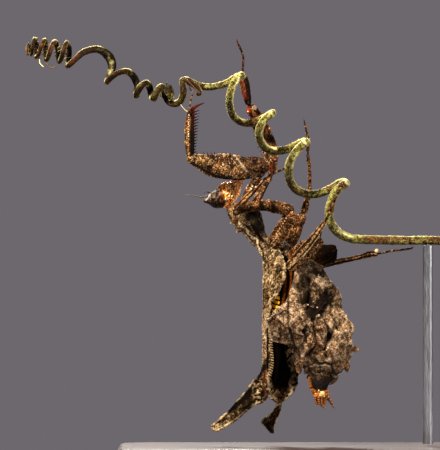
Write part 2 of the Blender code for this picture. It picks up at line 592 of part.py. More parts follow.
MID_LEFT = {
    "coxa": ((-0.2, 1.8, 33.8, 0.9, 0.8), (0.5, 2.2, 35.3, 0.95, 0.85), (1.2, 2.5, 37.0, 0.9, 0.8),
             (1.8, 2.8, 38.4, 0.8, 0.7)),
    "femur": ((2.2, 3.1, 39.2, 0.55, 0.5), (2.5, 3.7, 40.4, 0.6, 0.5), (2.8, 4.1, 42.1, 0.6, 0.5),
              (3.1, 3.6, 44.7, 0.55, 0.5), (2.9, 2.9, 47.0, 0.5, 0.45), (2.8, 2.6, 47.8, 0.55, 0.5)),
    "tibia": ((2.7, 2.3, 48.5, 0.35, 0.3), (2.7, 1.9, 49.6, 0.35, 0.3), (2.6, 1.5, 50.5, 0.33, 0.3),
              (2.5, 1.3, 51.2, 0.3, 0.28)),
    "tarsus": ((2.5, 1.2, 51.5, 0.26, 0.25), (2.4, 0.9, 52.1, 0.25, 0.25), (2.2, 0.5, 52.8, 0.2, 0.2)),
}
HIND_RIGHT = {
    "coxa": ((0.2, -2.3, 32.1, 0.85, 0.75), (1.5, -2.6, 33.2, 0.9, 0.8), (3.1, -2.6, 34.2, 0.8, 0.7),
             (4.3, -2.6, 35.0, 0.65, 0.6)),
    "femur": ((4.6, -3.0, 34.5, 0.6, 0.55), (3.4, -3.7, 33.2, 0.7, 0.6), (2.0, -4.4, 31.6, 0.65, 0.55),
              (0.6, -5.2, 30.4, 0.5, 0.5)),
    "tibia": ((-0.3, -5.8, 30.5, 0.6, 0.4), (0.9, -5.4, 31.9, 0.68, 0.35), (2.5, -4.8, 33.8, 0.62, 0.3),
              (4.2, -4.0, 35.9, 0.42, 0.28), (5.2, -3.7, 37.3, 0.35, 0.28)),
    "tarsus": ((5.5, -3.6, 37.8, 0.3, 0.27), (6.2, -3.8, 39.2, 0.27, 0.25), (6.8, -3.8, 40.8, 0.27, 0.25),
               (7.5, -3.1, 42.2, 0.25, 0.25), (8.2, -2.2, 43.3, 0.2, 0.2)),
}
HIND_LEFT = {
    "coxa": ((1.5, 1.4, 31.3, 1.2, 1.0), (3.4, 1.9, 32.1, 1.3, 1.1), (5.4, 2.3, 32.7, 1.3, 1.1),
             (6.8, 2.5, 33.0, 1.0, 0.9)),
    "femur": ((6.6, 3.2, 32.1, 0.7, 0.65), (6.2, 4.4, 31.6, 0.8, 0.7), (5.5, 6.0, 31.2, 0.7, 0.6),
              (4.9, 7.8, 30.8, 0.5, 0.5)),
    "tibia": ((5.2, 8.3, 30.8, 0.45, 0.35), (7.4, 7.0, 31.3, 0.4, 0.3), (10.2, 5.4, 31.9, 0.33, 0.28),
              (12.5, 4.2, 32.5, 0.42, 0.32), (13.4, 3.7, 32.5, 0.3, 0.27)),
    "tarsus": ((13.8, 3.4, 32.6, 0.26, 0.25), (15.7, 2.5, 33.0, 0.25, 0.25), (17.4, 1.7, 33.2, 0.25, 0.25),
               (18.8, 0.9, 33.4, 0.22, 0.22)),
}
SEGMENT_RINGS = {"coxa": 7, "femur": 12, "tibia": 8, "tarsus": 8}
SEGMENT_SIDES = {"coxa": 8, "femur": 10, "tibia": 8, "tarsus": 6}
CLAW_LENGTH = 0.63
CLAW_ROOT = 0.3
CLAW_SPREAD = 0.35
CLAW_LIFT = 0.3
CLAW_RADIUS = 0.17

# Rows of spines: count, first and last place along the segment, direction, length and radius
FEMUR_ROW = (9, 0.28, 0.85, (-0.15, 0, 1), 0.8, 0.2)
COMB_ROW = (11, 0.12, 0.9, (0.85, 0, 0.5), 1.0, 0.16)
FAR_FEMUR_ROW = (9, 0.3, 0.85, (-1, -0.1, -0.3), 0.8, 0.2)
FAR_COMB_ROW = (7, 0.2, 0.9, (0.1, -1, 0.3), 0.6, 0.16)
SPUR_ROW = (3, 0.8, 0.96, (0, 0, -1), 0.5, 0.17)
TIBIA_CLAW = ((-15.4, -2.7, 54.2), (-13.2, -2.7, 55.7), 0.33)
TIBIA_CLAW_BOW = (0.2, 0, -0.25)
KNEE_SPIKES = (
    ((3.6, -2.7, 34.5), (4.3, -3.0, 36.4), 0.3), ((4.4, -2.6, 35.0), (5.0, -2.6, 36.6), 0.3),
    ((1.9, -2.9, 33.6), (1.5, -3.3, 34.7), 0.3),
)
COXA_WARTS = (
    ((-1.9, -2.6, 35.7), (-3.1, -2.9, 36.1), 0.3), ((-1.0, -2.6, 36.7), (-2.0, -2.9, 37.3), 0.3),
    ((-0.2, -2.3, 37.9), (-1.2, -2.6, 38.6), 0.3),
)
FEMUR_KNOBS = (
    ((-6.2, 3.9, 55.2, 0.4, 0.4), (-6.7, 3.8, 55.3, 0.4, 0.4)),
    ((-6.0, 4.6, 55.2, 0.4, 0.4), (-5.5, 4.8, 55.3, 0.45, 0.45)),
)


def claws(stations):
    """Two hooked claws at the end of a tarsus."""
    end = np.array(stations[-1][:3])
    along = unit(end - np.array(stations[-2][:3]))
    pieces = []
    for side in (RIGHT, LEFT):
        tip = end + along * CLAW_LENGTH + np.array((0.0, side * CLAW_SPREAD, CLAW_LIFT))
        pieces.append(partial(spine, end - along * CLAW_ROOT, tip, CLAW_RADIUS, (0, 0, 0.1)))
    return pieces


def spine_row(stations, count, first, last, direction, length, radius):
    """Spines of varied length along one edge of a segment."""
    direction = unit(np.array(direction, float))
    places = spline(stations, 60)
    pieces = []
    for k in range(count):
        share = first + (last - first) * k / (count - 1)
        x, y, z, wide, thick = places[int(share * 59)]
        here = np.array((x, y, z))
        edge = here + direction * wide
        reach = length * (1.0 if k % 2 else 0.72)
        pieces.append(partial(spine, edge - direction * SPINE_SINK, edge + direction * reach, radius))
    return pieces


def leg(name, parts, look, extra=None, flats=None):
    """The segments of one leg, each its own sub-part, from the body out."""
    extra = extra or {}
    flats = flats or {}
    for segment, stations in parts.items():
        shape = partial(limb, stations, rings=SEGMENT_RINGS[segment], sides=SEGMENT_SIDES[segment],
                        flat=flats.get(segment, (0, 1, 0)))
        pieces = [shape] + extra.get(segment, [])
        if segment == "tarsus":
            pieces += claws(stations)
        node(f"{segment}_{name}", pieces, stations[0][:3], look)


def legs(look):
    spines = spine_row(FORE_RIGHT["femur"], *FEMUR_ROW)
    comb = spine_row(FORE_RIGHT["tibia"], *COMB_ROW)
    root, tip, size = TIBIA_CLAW
    comb.append(partial(spine, root, tip, size, TIBIA_CLAW_BOW))
    leg("fore_right", FORE_RIGHT, look["bark"], {"femur": spines, "tibia": comb})
    spines = spine_row(FORE_LEFT["femur"], *FAR_FEMUR_ROW)
    knobs = [partial(limb, knob, rings=4, sides=6, cap=0.7) for knob in FEMUR_KNOBS]
    comb = spine_row(FORE_LEFT["tibia"], *FAR_COMB_ROW)
    leg("fore_left", FORE_LEFT, look["orange"], {"femur": spines + knobs, "tibia": comb})
    warts = [partial(spine, *wart) for wart in COXA_WARTS]
    leg("mid_right", MID_RIGHT, look["bark"], {"coxa": warts})
    leg("mid_left", MID_LEFT, look["bark"])
    spikes = [partial(spine, *spike) for spike in KNEE_SPIKES]
    leg("hind_right", HIND_RIGHT, look["bark"], {"coxa": spikes})
    spurs = spine_row(HIND_LEFT["tibia"], *SPUR_ROW)
    leg("hind_left", HIND_LEFT, look["bark"], {"tibia": spurs}, {"femur": (0, 0, 1)})


# Wings: rows of one edge, the other edge and the bulge between them

FOREWING_RIGHT = (
    (-4.0, -0.7, 34.2, -2.6, -1.7, 34.4, 0.2), (-4.2, -0.5, 32.2, -1.4, -2.6, 32.8, 0.8),
    (-4.2, -0.5, 29.8, -0.6, -3.2, 30.5, 1.0), (-4.2, -0.5, 27.9, -0.9, -3.2, 28.4, 1.1),
    (-4.2, -0.5, 26.2, -2.0, -3.0, 26.2, 0.9), (-4.2, -0.5, 24.4, -2.9, -2.6, 24.3, 0.6),
    (-4.2, -0.5, 22.1, -3.1, -2.2, 22.1, 0.4), (-4.2, -0.5, 19.3, -3.0, -1.9, 19.5, 0.35),
    (-4.2, -0.5, 16.8, -3.0, -1.8, 16.7, 0.3), (-4.4, -0.6, 14.8, -3.2, -1.6, 14.1, 0.2),
    (-5.3, -0.8, 13.4, -3.4, -1.7, 11.6, 0.2), (-6.4, -1.1, 11.9, -4.0, -1.8, 9.9, 0.2),
    (-7.6, -1.4, 10.4, -5.8, -1.9, 9.2, 0.2), (-9.4, -1.6, 8.4, -7.8, -2.0, 7.5, 0.1),
    (-11.2, -2.0, 6.8, -9.9, -2.1, 6.1, 0.0), (-12.0, -2.1, 6.2, -11.2, -2.1, 5.4, 0.0),
)
FOREWING_LEFT = (
    (-4.0, 0.7, 34.1, -2.6, 1.7, 34.2, 0.2), (-4.2, 0.5, 31.9, -1.4, 2.6, 32.7, 0.8),
    (-4.2, 0.5, 29.3, -0.5, 3.2, 30.2, 1.0), (-4.2, 0.5, 26.2, -0.2, 3.4, 27.0, 1.1),
    (-4.2, 0.5, 23.2, 0.0, 3.4, 23.6, 0.9), (-4.2, 0.5, 20.1, 0.0, 3.3, 20.1, 0.6),
    (-4.2, 0.6, 17.5, 0.7, 3.2, 17.0, 0.4), (-4.1, 0.7, 14.7, 1.4, 2.8, 14.4, 0.3),
    (-3.9, 0.9, 12.3, 1.2, 2.4, 12.3, 0.2), (-3.4, 1.0, 10.7, 0.0, 2.0, 10.5, 0.2),
    (-2.3, 1.1, 9.7, -1.1, 1.6, 9.7, 0.1), (-2.2, 1.1, 9.0, -1.3, 1.6, 9.0, 0.0),
    (-3.2, 1.1, 7.8, -1.5, 1.4, 7.9, 0.1), (-4.5, 1.0, 6.8, -2.1, 1.3, 6.7, 0.0),
    (-3.7, 1.0, 5.7, -2.4, 1.2, 5.7, 0.0), (-3.0, 0.9, 5.0, -2.4, 1.0, 4.9, 0.0),
)
HINDWING = (
    (-2.9, 0.9, 33.0, -1.7, 1.9, 33.2, 0.1), (-3.4, 0.9, 30.8, 0.0, 2.3, 31.3, 0.3),
    (-3.5, 0.9, 27.8, 0.3, 2.4, 28.2, 0.4), (-3.5, 0.9, 24.7, -0.2, 2.4, 25.0, 0.4),
    (-3.5, 0.9, 21.6, -0.3, 2.3, 22.1, 0.3), (-3.4, 0.9, 18.5, -1.2, 1.9, 18.5, 0.2),
    (-3.1, 0.9, 15.5, -1.8, 1.5, 15.5, 0.1), (-2.8, 0.9, 13.2, -2.2, 1.2, 12.8, 0.0),
)


def wings(look):
    right = tuple((x, -y, z, u, -v, w, bulge) for x, y, z, u, v, w, bulge in HINDWING)
    for name, rows, side in (("right", right, RIGHT), ("left", HINDWING, LEFT)):
        sheet = partial(leaf, rows, side, along=16, across=6, crumple=0.1)
        node(f"hindwing_{name}", [sheet], rows[0][:3], look)
    for name, rows, side in (("right", FOREWING_RIGHT, RIGHT), ("left", FOREWING_LEFT, LEFT)):
        node(f"forewing_{name}", [partial(leaf, rows, side, along=30)], rows[0][:3], look)


def main():
    for obj in list(bpy.data.objects):
        bpy.data.objects.remove(obj, do_unlink=True)
    look = looks()
    stand_base(look["base"])
    tendril(look["tendril"])
    stand_rod(look["rod"])
    trunk(look)
    legs(look)
    wings(look["leaf"])


main()
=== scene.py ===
"""Looks of the dead-leaf mantis model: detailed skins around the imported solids, and their materials.

Lengths are in millimetres up to the function add_piece, which turns them into metres. X runs from the back
of the hanging insect to its belly, -Y is its right side, which the camera sees, and +Z is up.
"""

from dataclasses import dataclass
from itertools import product

import bpy
import numpy as np
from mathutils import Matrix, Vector


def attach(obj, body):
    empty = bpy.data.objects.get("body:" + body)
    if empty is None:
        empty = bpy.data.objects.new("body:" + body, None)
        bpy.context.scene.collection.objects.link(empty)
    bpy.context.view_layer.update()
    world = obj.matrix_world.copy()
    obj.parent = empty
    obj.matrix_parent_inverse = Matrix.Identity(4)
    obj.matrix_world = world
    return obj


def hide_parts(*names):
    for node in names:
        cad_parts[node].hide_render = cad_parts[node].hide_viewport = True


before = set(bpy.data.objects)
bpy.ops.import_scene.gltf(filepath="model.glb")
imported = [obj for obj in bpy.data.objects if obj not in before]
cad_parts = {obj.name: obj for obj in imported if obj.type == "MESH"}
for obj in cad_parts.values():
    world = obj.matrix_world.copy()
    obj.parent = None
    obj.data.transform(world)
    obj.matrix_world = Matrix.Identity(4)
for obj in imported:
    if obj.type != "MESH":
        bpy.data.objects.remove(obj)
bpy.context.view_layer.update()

MM = 0.001
PATCH = 0.003  # width of one tuft's patch on the unrolled skin that its colours are baked by
RIGHT = -1
LEFT = 1

# Photograph: its size, the pixels of one millimetre, and the pixel of the row frame's x = 0, z = 5
PHOTO_WIDTH = 440
PHOTO_HEIGHT = 450
PIXELS_PER_MM = 6.5
PHOTO_X = 290
PHOTO_Z = 433
PHOTO_Z_HEIGHT = 5.0


# Noise

# Odd numbers that scramble a whole-number place and a seed, and the bits that are kept of them
SCRAMBLE = (374761393, 668265263, 1274126177)
SEED_SCRAMBLE = 974711
LAST_SCRAMBLE = 1103515245
LOW_BITS = 0xFFFFFF
# Shares of the spacing of scattered seeds: a grain's radius, the width of a net's lines, a fleck's soft edge
GRAIN_RADIUS = 0.62
NET_WIDTH = 0.16
FLECK_EDGE = (0.3, 0.55)


def lattice(places, seed):
    """A number from 0 to 1 for each whole-number place in space, always the same for the same seed."""
    mixed = places @ np.array(SCRAMBLE) + seed * SEED_SCRAMBLE
    mixed = (mixed ^ (mixed >> 13)) * LAST_SCRAMBLE
    return ((mixed ^ (mixed >> 16)) & LOW_BITS) / LOW_BITS


def noise(points, size, seed=0):
    """Smooth noise from -1 to 1 with lumps of about that size."""
    places = points / size
    base = np.floor(places).astype(np.int64)
    share = places - base
    share = share * share * (3 - 2 * share)
    total = 0.0
    for corner in product((0, 1), repeat=3):
        weight = np.prod(np.where(corner, share, 1 - share), axis=-1)
        total = total + weight * lattice(base + np.array(corner), seed)
    return total * 2 - 1


def fractal(points, size, octaves=4, seed=0):
    """Noise with ever finer and weaker noise on top."""
    return sum(noise(points, size / 2**k, seed + k) / 2**k for k in range(octaves))


def cells(points, size, seed=0):
    """Distances to the nearest and second nearest of scattered seeds, as shares of their spacing, and a
    number from 0 to 1 that belongs to the nearest one."""
    places = points / size
    base = np.floor(places).astype(np.int64)
    nearest = np.full(len(points), 9.0)
    second = nearest.copy()
    number = np.zeros(len(points))
    for step in product((-1, 0, 1), repeat=3):
        cell = base + np.array(step)
        seeds = cell + np.stack([lattice(cell, seed + k) for k in (11, 23, 37)], axis=-1)
        distance = np.linalg.norm(places - seeds, axis=-1)
        number = np.where(distance < nearest, lattice(cell, seed + 51), number)
        second = np.minimum(second, np.maximum(nearest, distance))
        nearest = np.minimum(nearest, distance)
    return nearest, second, number


def granules(points, size, seed=0):
    """Round grains, from 0 between them to 1 on top."""
    return np.clip(1 - (cells(points, size, seed)[0] / GRAIN_RADIUS)**2, 0, 1)


def net(points, size, seed=0):
    """Thin lines between cells, 1 on the line."""
    nearest, second, _ = cells(points, size, seed)
    return np.clip(1 - (second - nearest) / NET_WIDTH, 0, 1)


def flecks(points, size, share, seed=0):
    """Scattered small spots, 1 inside."""
    nearest, _, number = cells(points, size, seed)
    return (number < share) * (1 - smooth(nearest, *FLECK_EDGE))


def smooth(value, low, high):
    """0 below low and 1 above high, with a soft step between."""
    t = np.clip((value - low) / (high - low), 0, 1)
    return t * t * (3 - 2 * t)


def slanted(points, angle, long):
    """The points squeezed along a direction of the x-z plane, so that noise read there is long that way."""
    c, s = np.cos(np.radians(angle)), np.sin(np.radians(angle))
    x, y, z = points.T
    return np.column_stack([(x * c + z * s) / long, y, z * c - x * s])


def warped(points, amount, size, seed=0):
    """The points shifted about by noise."""
    return points + amount * np.stack([noise(points, size, seed + k) for k in range(3)], axis=-1)


def near(points, line, width):
    """1 on a line through (x, z) places, falling to 0 at that distance from it."""
    line = np.array(line, float)
    place = points[:, [0, 2]]
    best = np.full(len(points), 99.0)
    for start, end in zip(line, line[1:]):
        run = end - start
        share = np.clip((place - start) @ run / (run @ run), 0, 1)
        best = np.minimum(best, np.linalg.norm(place - start - share[:, None] * run, axis=1))
    return 1 - smooth(best, 0, width)


def spot(points, x, z, wide, high):
    """Soft spot of the x-z plane, 1 in its middle."""
    return np.exp(-((points[:, 0] - x) / wide)**2 - ((points[:, 2] - z) / high)**2)


# Surfaces

# Straight steps between two stations of a curve, and the angles of the rings that round a tube's end
SPLINE_STEPS = 24
CAP_ANGLES = (84, 66, 45, 22)
FEWEST_SIDES = 8
MOST_SIDES = 240
# Hairs: how far they lean off the normal, the shortest one's share of the length, how deep they root
HAIR_LEAN = 0.45
HAIR_SHORTEST = 0.35
HAIR_SINK = 0.03


@dataclass
class Surface:
    """A closed mesh: points, faces in groups of quads and triangles, and for each point its share of the
    length, its angle or share across, and its look (rise, accent, dark, pale)."""
    points: np.ndarray
    faces: list
    along: np.ndarray
    around: np.ndarray
    look: np.ndarray

    def paint(self, rise=None, accent=None, dark=None, pale=None):
        """The surface with those columns of its look set."""
        for column, values in enumerate((rise, accent, dark, pale)):
            if values is not None:
                self.look[:, column] = values
        return self


def plain_look(count):
    return np.tile((0.5, 0.0, 0.0, 0.0), (count, 1))


def unit(vectors):
    """The vectors at length 1."""
    return vectors / np.maximum(np.linalg.norm(vectors, axis=-1, keepdims=True), 1e-9)


def spline(stations, count):
    """Smooth curve through the stations, read at count places evenly spread along it."""
    points = np.array(stations, float)
    padded = np.vstack([2 * points[0] - points[1], points, 2 * points[-1] - points[-2]])
    fine = []
    for before, start, end, after in zip(padded, padded[1:], padded[2:], padded[3:]):
        t = np.linspace(0, 1, SPLINE_STEPS, endpoint=False)[:, None]
        fine.append(0.5 * (2 * start + (end - before) * t
                           + (2 * before - 5 * start + 4 * end - after) * t**2
                           + (3 * start - before - 3 * end + after) * t**3))
    fine = np.vstack(fine + [points[-1:]])
    steps = np.linalg.norm(np.diff(fine[:, :3], axis=0), axis=1)
    length = np.concatenate([[0], np.cumsum(steps)])
    wanted = np.linspace(0, length[-1], count)
    return np.column_stack([np.interp(wanted, length, column) for column in fine.T])


def path_length(stations):
    points = np.array(stations, float)[:, :3]
    return np.sum(np.linalg.norm(np.diff(points, axis=0), axis=1))


def ring_surface(grid, start, end, along):
    """Closed surface over rings of points, with one point closing each end."""
    count, sides = grid.shape[:2]
    points = np.vstack([grid.reshape(-1, 3), start, end])
    i, j = np.meshgrid(np.arange(count - 1), np.arange(sides), indexing="ij")
    k = (j + 1) % sides
    corners = [i * sides + j, i * sides + k, (i + 1) * sides + k, (i + 1) * sides + j]
    quads = np.stack(corners, -1).reshape(-1, 4)
    j = np.arange(sides)
    k = (j + 1) % sides
    first, last = count * sides, count * sides + 1
    caps = np.vstack([np.stack([np.full(sides, first), k, j], -1),
                      np.stack([np.full(sides, last), (count - 1) * sides + j, (count - 1) * sides + k], -1)])
    angle = 2 * np.pi * np.arange(sides) / sides
    return Surface(points, [quads, caps], np.append(np.repeat(along, sides), (0, 1)),
                   np.append(np.tile(angle, count), (0, 0)), plain_look(len(points)))


def tube(stations, step=0.14, flat=(0, 1, 0), ends=(0.6, 0.6), sides=None, turning=False):
    """Closed tube along a smooth path with rounded ends.

    A station is (x, y, z, half width, half thickness). The thickness keeps to the direction flat, or with
    turning the rings turn as little as they can from one to the next.
    """
    rings = max(5, int(path_length(stations) / step))
    path = spline(stations, rings)
    centre, width, thick = path[:, :3], path[:, 3], path[:, 4]
    tangent = unit(np.gradient(centre, axis=0))
    if turning:
        side = np.array((0.0, 1.0, 0.0))
        up = []
        for direction in tangent:
            side = side - direction * np.dot(side, direction)
            side = side / np.linalg.norm(side)
            up.append(side)
        up = np.array(up)
    else:
        flat = np.array(flat, float)
        up = unit(flat - (tangent @ flat)[:, None] * tangent)
    wide = np.cross(up, tangent)
    share = np.linspace(0, 1, rings)
    caps, tips = [], []
    for k, way in ((0, -1), (-1, 1)):
        reach = way * tangent[k] * ends[k] * min(width[k], thick[k])
        caps.append([(centre[k] + reach * np.sin(a), wide[k], up[k], width[k] * np.cos(a),
                      thick[k] * np.cos(a), share[k]) for a in np.radians(CAP_ANGLES)])
        tips.append(centre[k] + reach)
    rows = caps[0] + list(zip(centre, wide, up, width, thick, share)) + caps[1][::-1]
    widest = max(width.max(), thick.max())
    sides = sides or int(np.clip(2 * np.pi * widest / step, FEWEST_SIDES, MOST_SIDES))
    angle = 2 * np.pi * np.arange(sides) / sides
    grid = np.array([c + np.cos(angle)[:, None] * w * a + np.sin(angle)[:, None] * u * b
                     for c, w, u, a, b, _ in rows])
    return outward(ring_surface(grid, *tips, np.array([row[5] for row in rows])))


def outward(surface):
    """The same surface with its faces pointing out."""
    volume = 0.0
    for group in surface.faces:
        corner = surface.points[group]
        for k in range(1, group.shape[1] - 1):
            volume += np.sum(corner[:, 0] * np.cross(corner[:, k], corner[:, k + 1]))
    if volume < 0:
        surface.faces = [group[:, ::-1] for group in surface.faces]
    return surface


def normals(surface):
    """Outward directions at the surface's points."""
    total = np.zeros_like(surface.points)
    for group in surface.faces:
        corner = surface.points[group]
        area = np.cross(corner[:, 2] - corner[:, 0], corner[:, -1] - corner[:, 1])
        for k in range(group.shape[1]):
            np.add.at(total, group[:, k], area)
    return unit(total)


def push(surface, relief):
    """Moves each point along its normal by its relief in mm."""
    surface.points = surface.points + normals(surface) * relief[:, None]
    return surface


def sheet(rows, side, step=0.16, thickness=0.2, bulge=1.0, ragged=0.0, seed=0):
    """Thin closed sheet between two edges.

    A row is (x, y, z) of one edge, (x, y, z) of the other, and how far the middle bulges to that side.
    """
    edges = np.array(rows, float)
    long = int(max(path_length(edges[:, :3]), path_length(edges[:, 3:6])) / step)
    across = int(np.linalg.norm(edges[:, 3:6] - edges[:, :3], axis=1).max() / step) + 4
    path = spline(rows, long)
    share = np.repeat(np.linspace(0, 1, across)[None, :], long, axis=0)
    if ragged:
        low = ragged * np.abs(fractal(path[:, 0:3], 0.9, 3, seed))[:, None]
        high = 1 - ragged * np.abs(fractal(path[:, 3:6], 0.9, 3, seed + 5))[:, None]
        share = low + (high - low) * share
    middle = path[:, None, 0:3] * (1 - share[..., None]) + path[:, None, 3:6] * share[..., None]
    middle[:, :, 1] += side * bulge * path[:, 6:7] * np.sin(np.pi * share)
    normal = unit(np.cross(np.gradient(middle, axis=0), np.gradient(middle, axis=1)))
    if np.sum(normal[:, :, 1]) * side < 0:
        normal = -normal
    edge = np.minimum(np.linspace(0, 1, across), 1 - np.linspace(0, 1, across))[None, :]
    half = (0.5 * thickness * np.sqrt(np.clip(edge * across / 3, 0.12, 1)))[..., None]
    front, back = middle + normal * half, middle - normal * half
    total = long * across
    a, b = np.meshgrid(np.arange(long - 1), np.arange(across - 1), indexing="ij")
    corner = (a * across + b).ravel()
    quads = np.stack([corner, corner + 1, corner + across + 1, corner + across], -1)
    rim = np.concatenate([np.arange(across), np.arange(1, long) * across + across - 1,
                          (long - 1) * across + np.arange(across - 2, -1, -1),
                          np.arange(long - 2, 0, -1) * across])
    following = np.roll(rim, -1)
    walls = np.stack([following, rim, rim + total, following + total], -1)
    along = np.tile(np.repeat(np.linspace(0, 1, long), across), 2)
    return outward(Surface(np.vstack([front.reshape(-1, 3), back.reshape(-1, 3)]),
                           [quads, quads[:, ::-1] + total, walls], along,
                           np.tile(share.reshape(-1), 2), plain_look(2 * total)))


def thorn(root, tip, radius, bend=(0, 0, 0), sides=7, step=0.2, look=(0.5, 0, 0, 0)):
    """Tapered spine, bowed by bend at its middle."""
    root, tip, bend = (np.array(v, float) for v in (root, tip, bend))
    middle = 0.5 * (root + tip) + bend
    stations = [(*root, radius, radius), (*middle, 0.62 * radius, 0.62 * radius),
                (*tip, 0.06 * radius, 0.06 * radius)]
    made = tube(stations, step=step, flat=(0.31, 0.87, 0.38), ends=(0.2, 0.5), sides=sides)
    return made.paint(*look)


def bead(centre, radius, look=(0.8, 0, 0, 0), sides=8):
    """Small round wart."""
    x, y, z = centre
    low, high = z - 0.35 * radius, z + 0.35 * radius
    stations = [(x, y, low, 0.94 * radius, 0.94 * radius), (x, y, high, 0.94 * radius, 0.94 * radius)]
    return tube(stations, step=radius * 0.3, ends=(0.7, 0.7), sides=sides).paint(*look)


def thread(places, radius, look):
    """Thin strand of even radius through the places."""
    stations = [(*place, radius, radius) for place in places]
    return tube(stations, 0.12, sides=8, turning=True).paint(*look)


def join(surfaces):
    """One surface of several that stay apart."""
    points, faces, along, around, look, offset = [], [], [], [], [], 0
    for surface in surfaces:
        points.append(surface.points)
        faces += [group + offset for group in surface.faces]
        along.append(surface.along)
        around.append(surface.around)
        look.append(surface.look)
        offset += len(surface.points)
    return Surface(np.vstack(points), faces, np.concatenate(along), np.concatenate(around), np.vstack(look))


def unwrap(surface, places):
    """Where those points lie on the unrolled surface, both ways from 0 to 1."""
    return surface.along[places], surface.around[places] / (2 * np.pi)


def patched(tuft, skin):
    """The tuft unrolled into a small patch at its root's place on the unrolled skin."""
    root = np.argmin(np.linalg.norm(skin.points - tuft.points[0], axis=1))
    along, around = (np.clip(value, PATCH, 1 - PATCH) for value in unwrap(skin, root))
    tuft.along = along + PATCH * (tuft.along - 0.5)
    tuft.around = 2 * np.pi * (around + PATCH * (tuft.around / tuft.around.max() - 0.5))
    return tuft


def hairs(surface, count, length, radius, seed, keep):
    """Tiny closed hairs standing on the kept points of a surface, each with a root of three points."""
    picks = np.random.default_rng(seed)
    direction = normals(surface)
    roots = picks.choice(np.flatnonzero(keep), count)
    lean = unit(direction[roots] + picks.normal(0, HAIR_LEAN, (count, 3)))
    size = length * picks.uniform(HAIR_SHORTEST, 1.0, count)[:, None]
    across = unit(np.cross(lean, picks.normal(0, 1, (count, 3))))
    other = np.cross(lean, across)
    base = surface.points[roots] - direction[roots] * HAIR_SINK
    angle = 2 * np.pi * np.arange(3) / 3
    corners = [base + radius * (np.cos(a) * across + np.sin(a) * other) for a in angle]
    points = np.stack(corners + [base + lean * size], axis=1).reshape(-1, 3)
    start = 4 * np.arange(count)[:, None]
    faces = np.vstack([start + np.array(f) for f in ((0, 2, 1), (0, 1, 3), (1, 2, 3), (2, 0, 3))])
    along, around = (np.clip(values, PATCH, 1 - PATCH)[:, None] for values in unwrap(surface, roots))
    along = along + PATCH * np.array((-0.5, 0.5, 0, 0))
    around = around + PATCH * np.array((-0.5, -0.5, 0.5, 0))
    made = Surface(points, [faces], along.ravel(), 2 * np.pi * around.ravel(),
                   np.repeat(surface.look[roots], 4, axis=0))
    return made.paint(rise=0.95, dark=0.3 * made.look[:, 2], pale=0.75)


# Pieces

def add_piece(name, surface, slot, replaced=(), coat=False):
    """Blender object of a surface, in metres. It rides on the body and stands for the solids it replaces,
    and with coat it has the map that its colours are baked by."""
    data = bpy.data.meshes.new(name)
    faces = [tuple(face) for group in surface.faces for face in group.tolist()]
    data.from_pydata((surface.points * MM).tolist(), [], faces)
    data.update()
    painted = data.color_attributes.new("look", "FLOAT_COLOR", "POINT")
    painted.data.foreach_set("color", np.clip(surface.look, 0, 1).astype(np.float32).ravel())
    if coat:
        corners = np.zeros(len(data.loops), np.int32)
        data.loops.foreach_get("vertex_index", corners)
        places = np.column_stack(unwrap(surface, corners)).astype(np.float32)
        data.uv_layers.new(name="OFBake").data.foreach_set("uv", places.ravel())
    data.shade_smooth()
    data.materials.append(MATERIALS[slot])
    obj = bpy.data.objects.new(name, data)
    bpy.context.scene.collection.objects.link(obj)
    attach(obj, "root")
    if replaced:
        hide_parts(*replaced)


# Materials

# Size of the specks and grains that the materials add, in mm
SPECK_SIZE = 0.22
GRAIN_SIZE = 0.16


def colour(red, green, blue):
    """Linear colour from one given as it is seen, 0 to 255."""
    seen = np.array((red, green, blue)) / 255
    return tuple(np.where(seen <= 0.04045, seen / 12.92, ((seen + 0.055) / 1.055)**2.4)) + (1.0,)


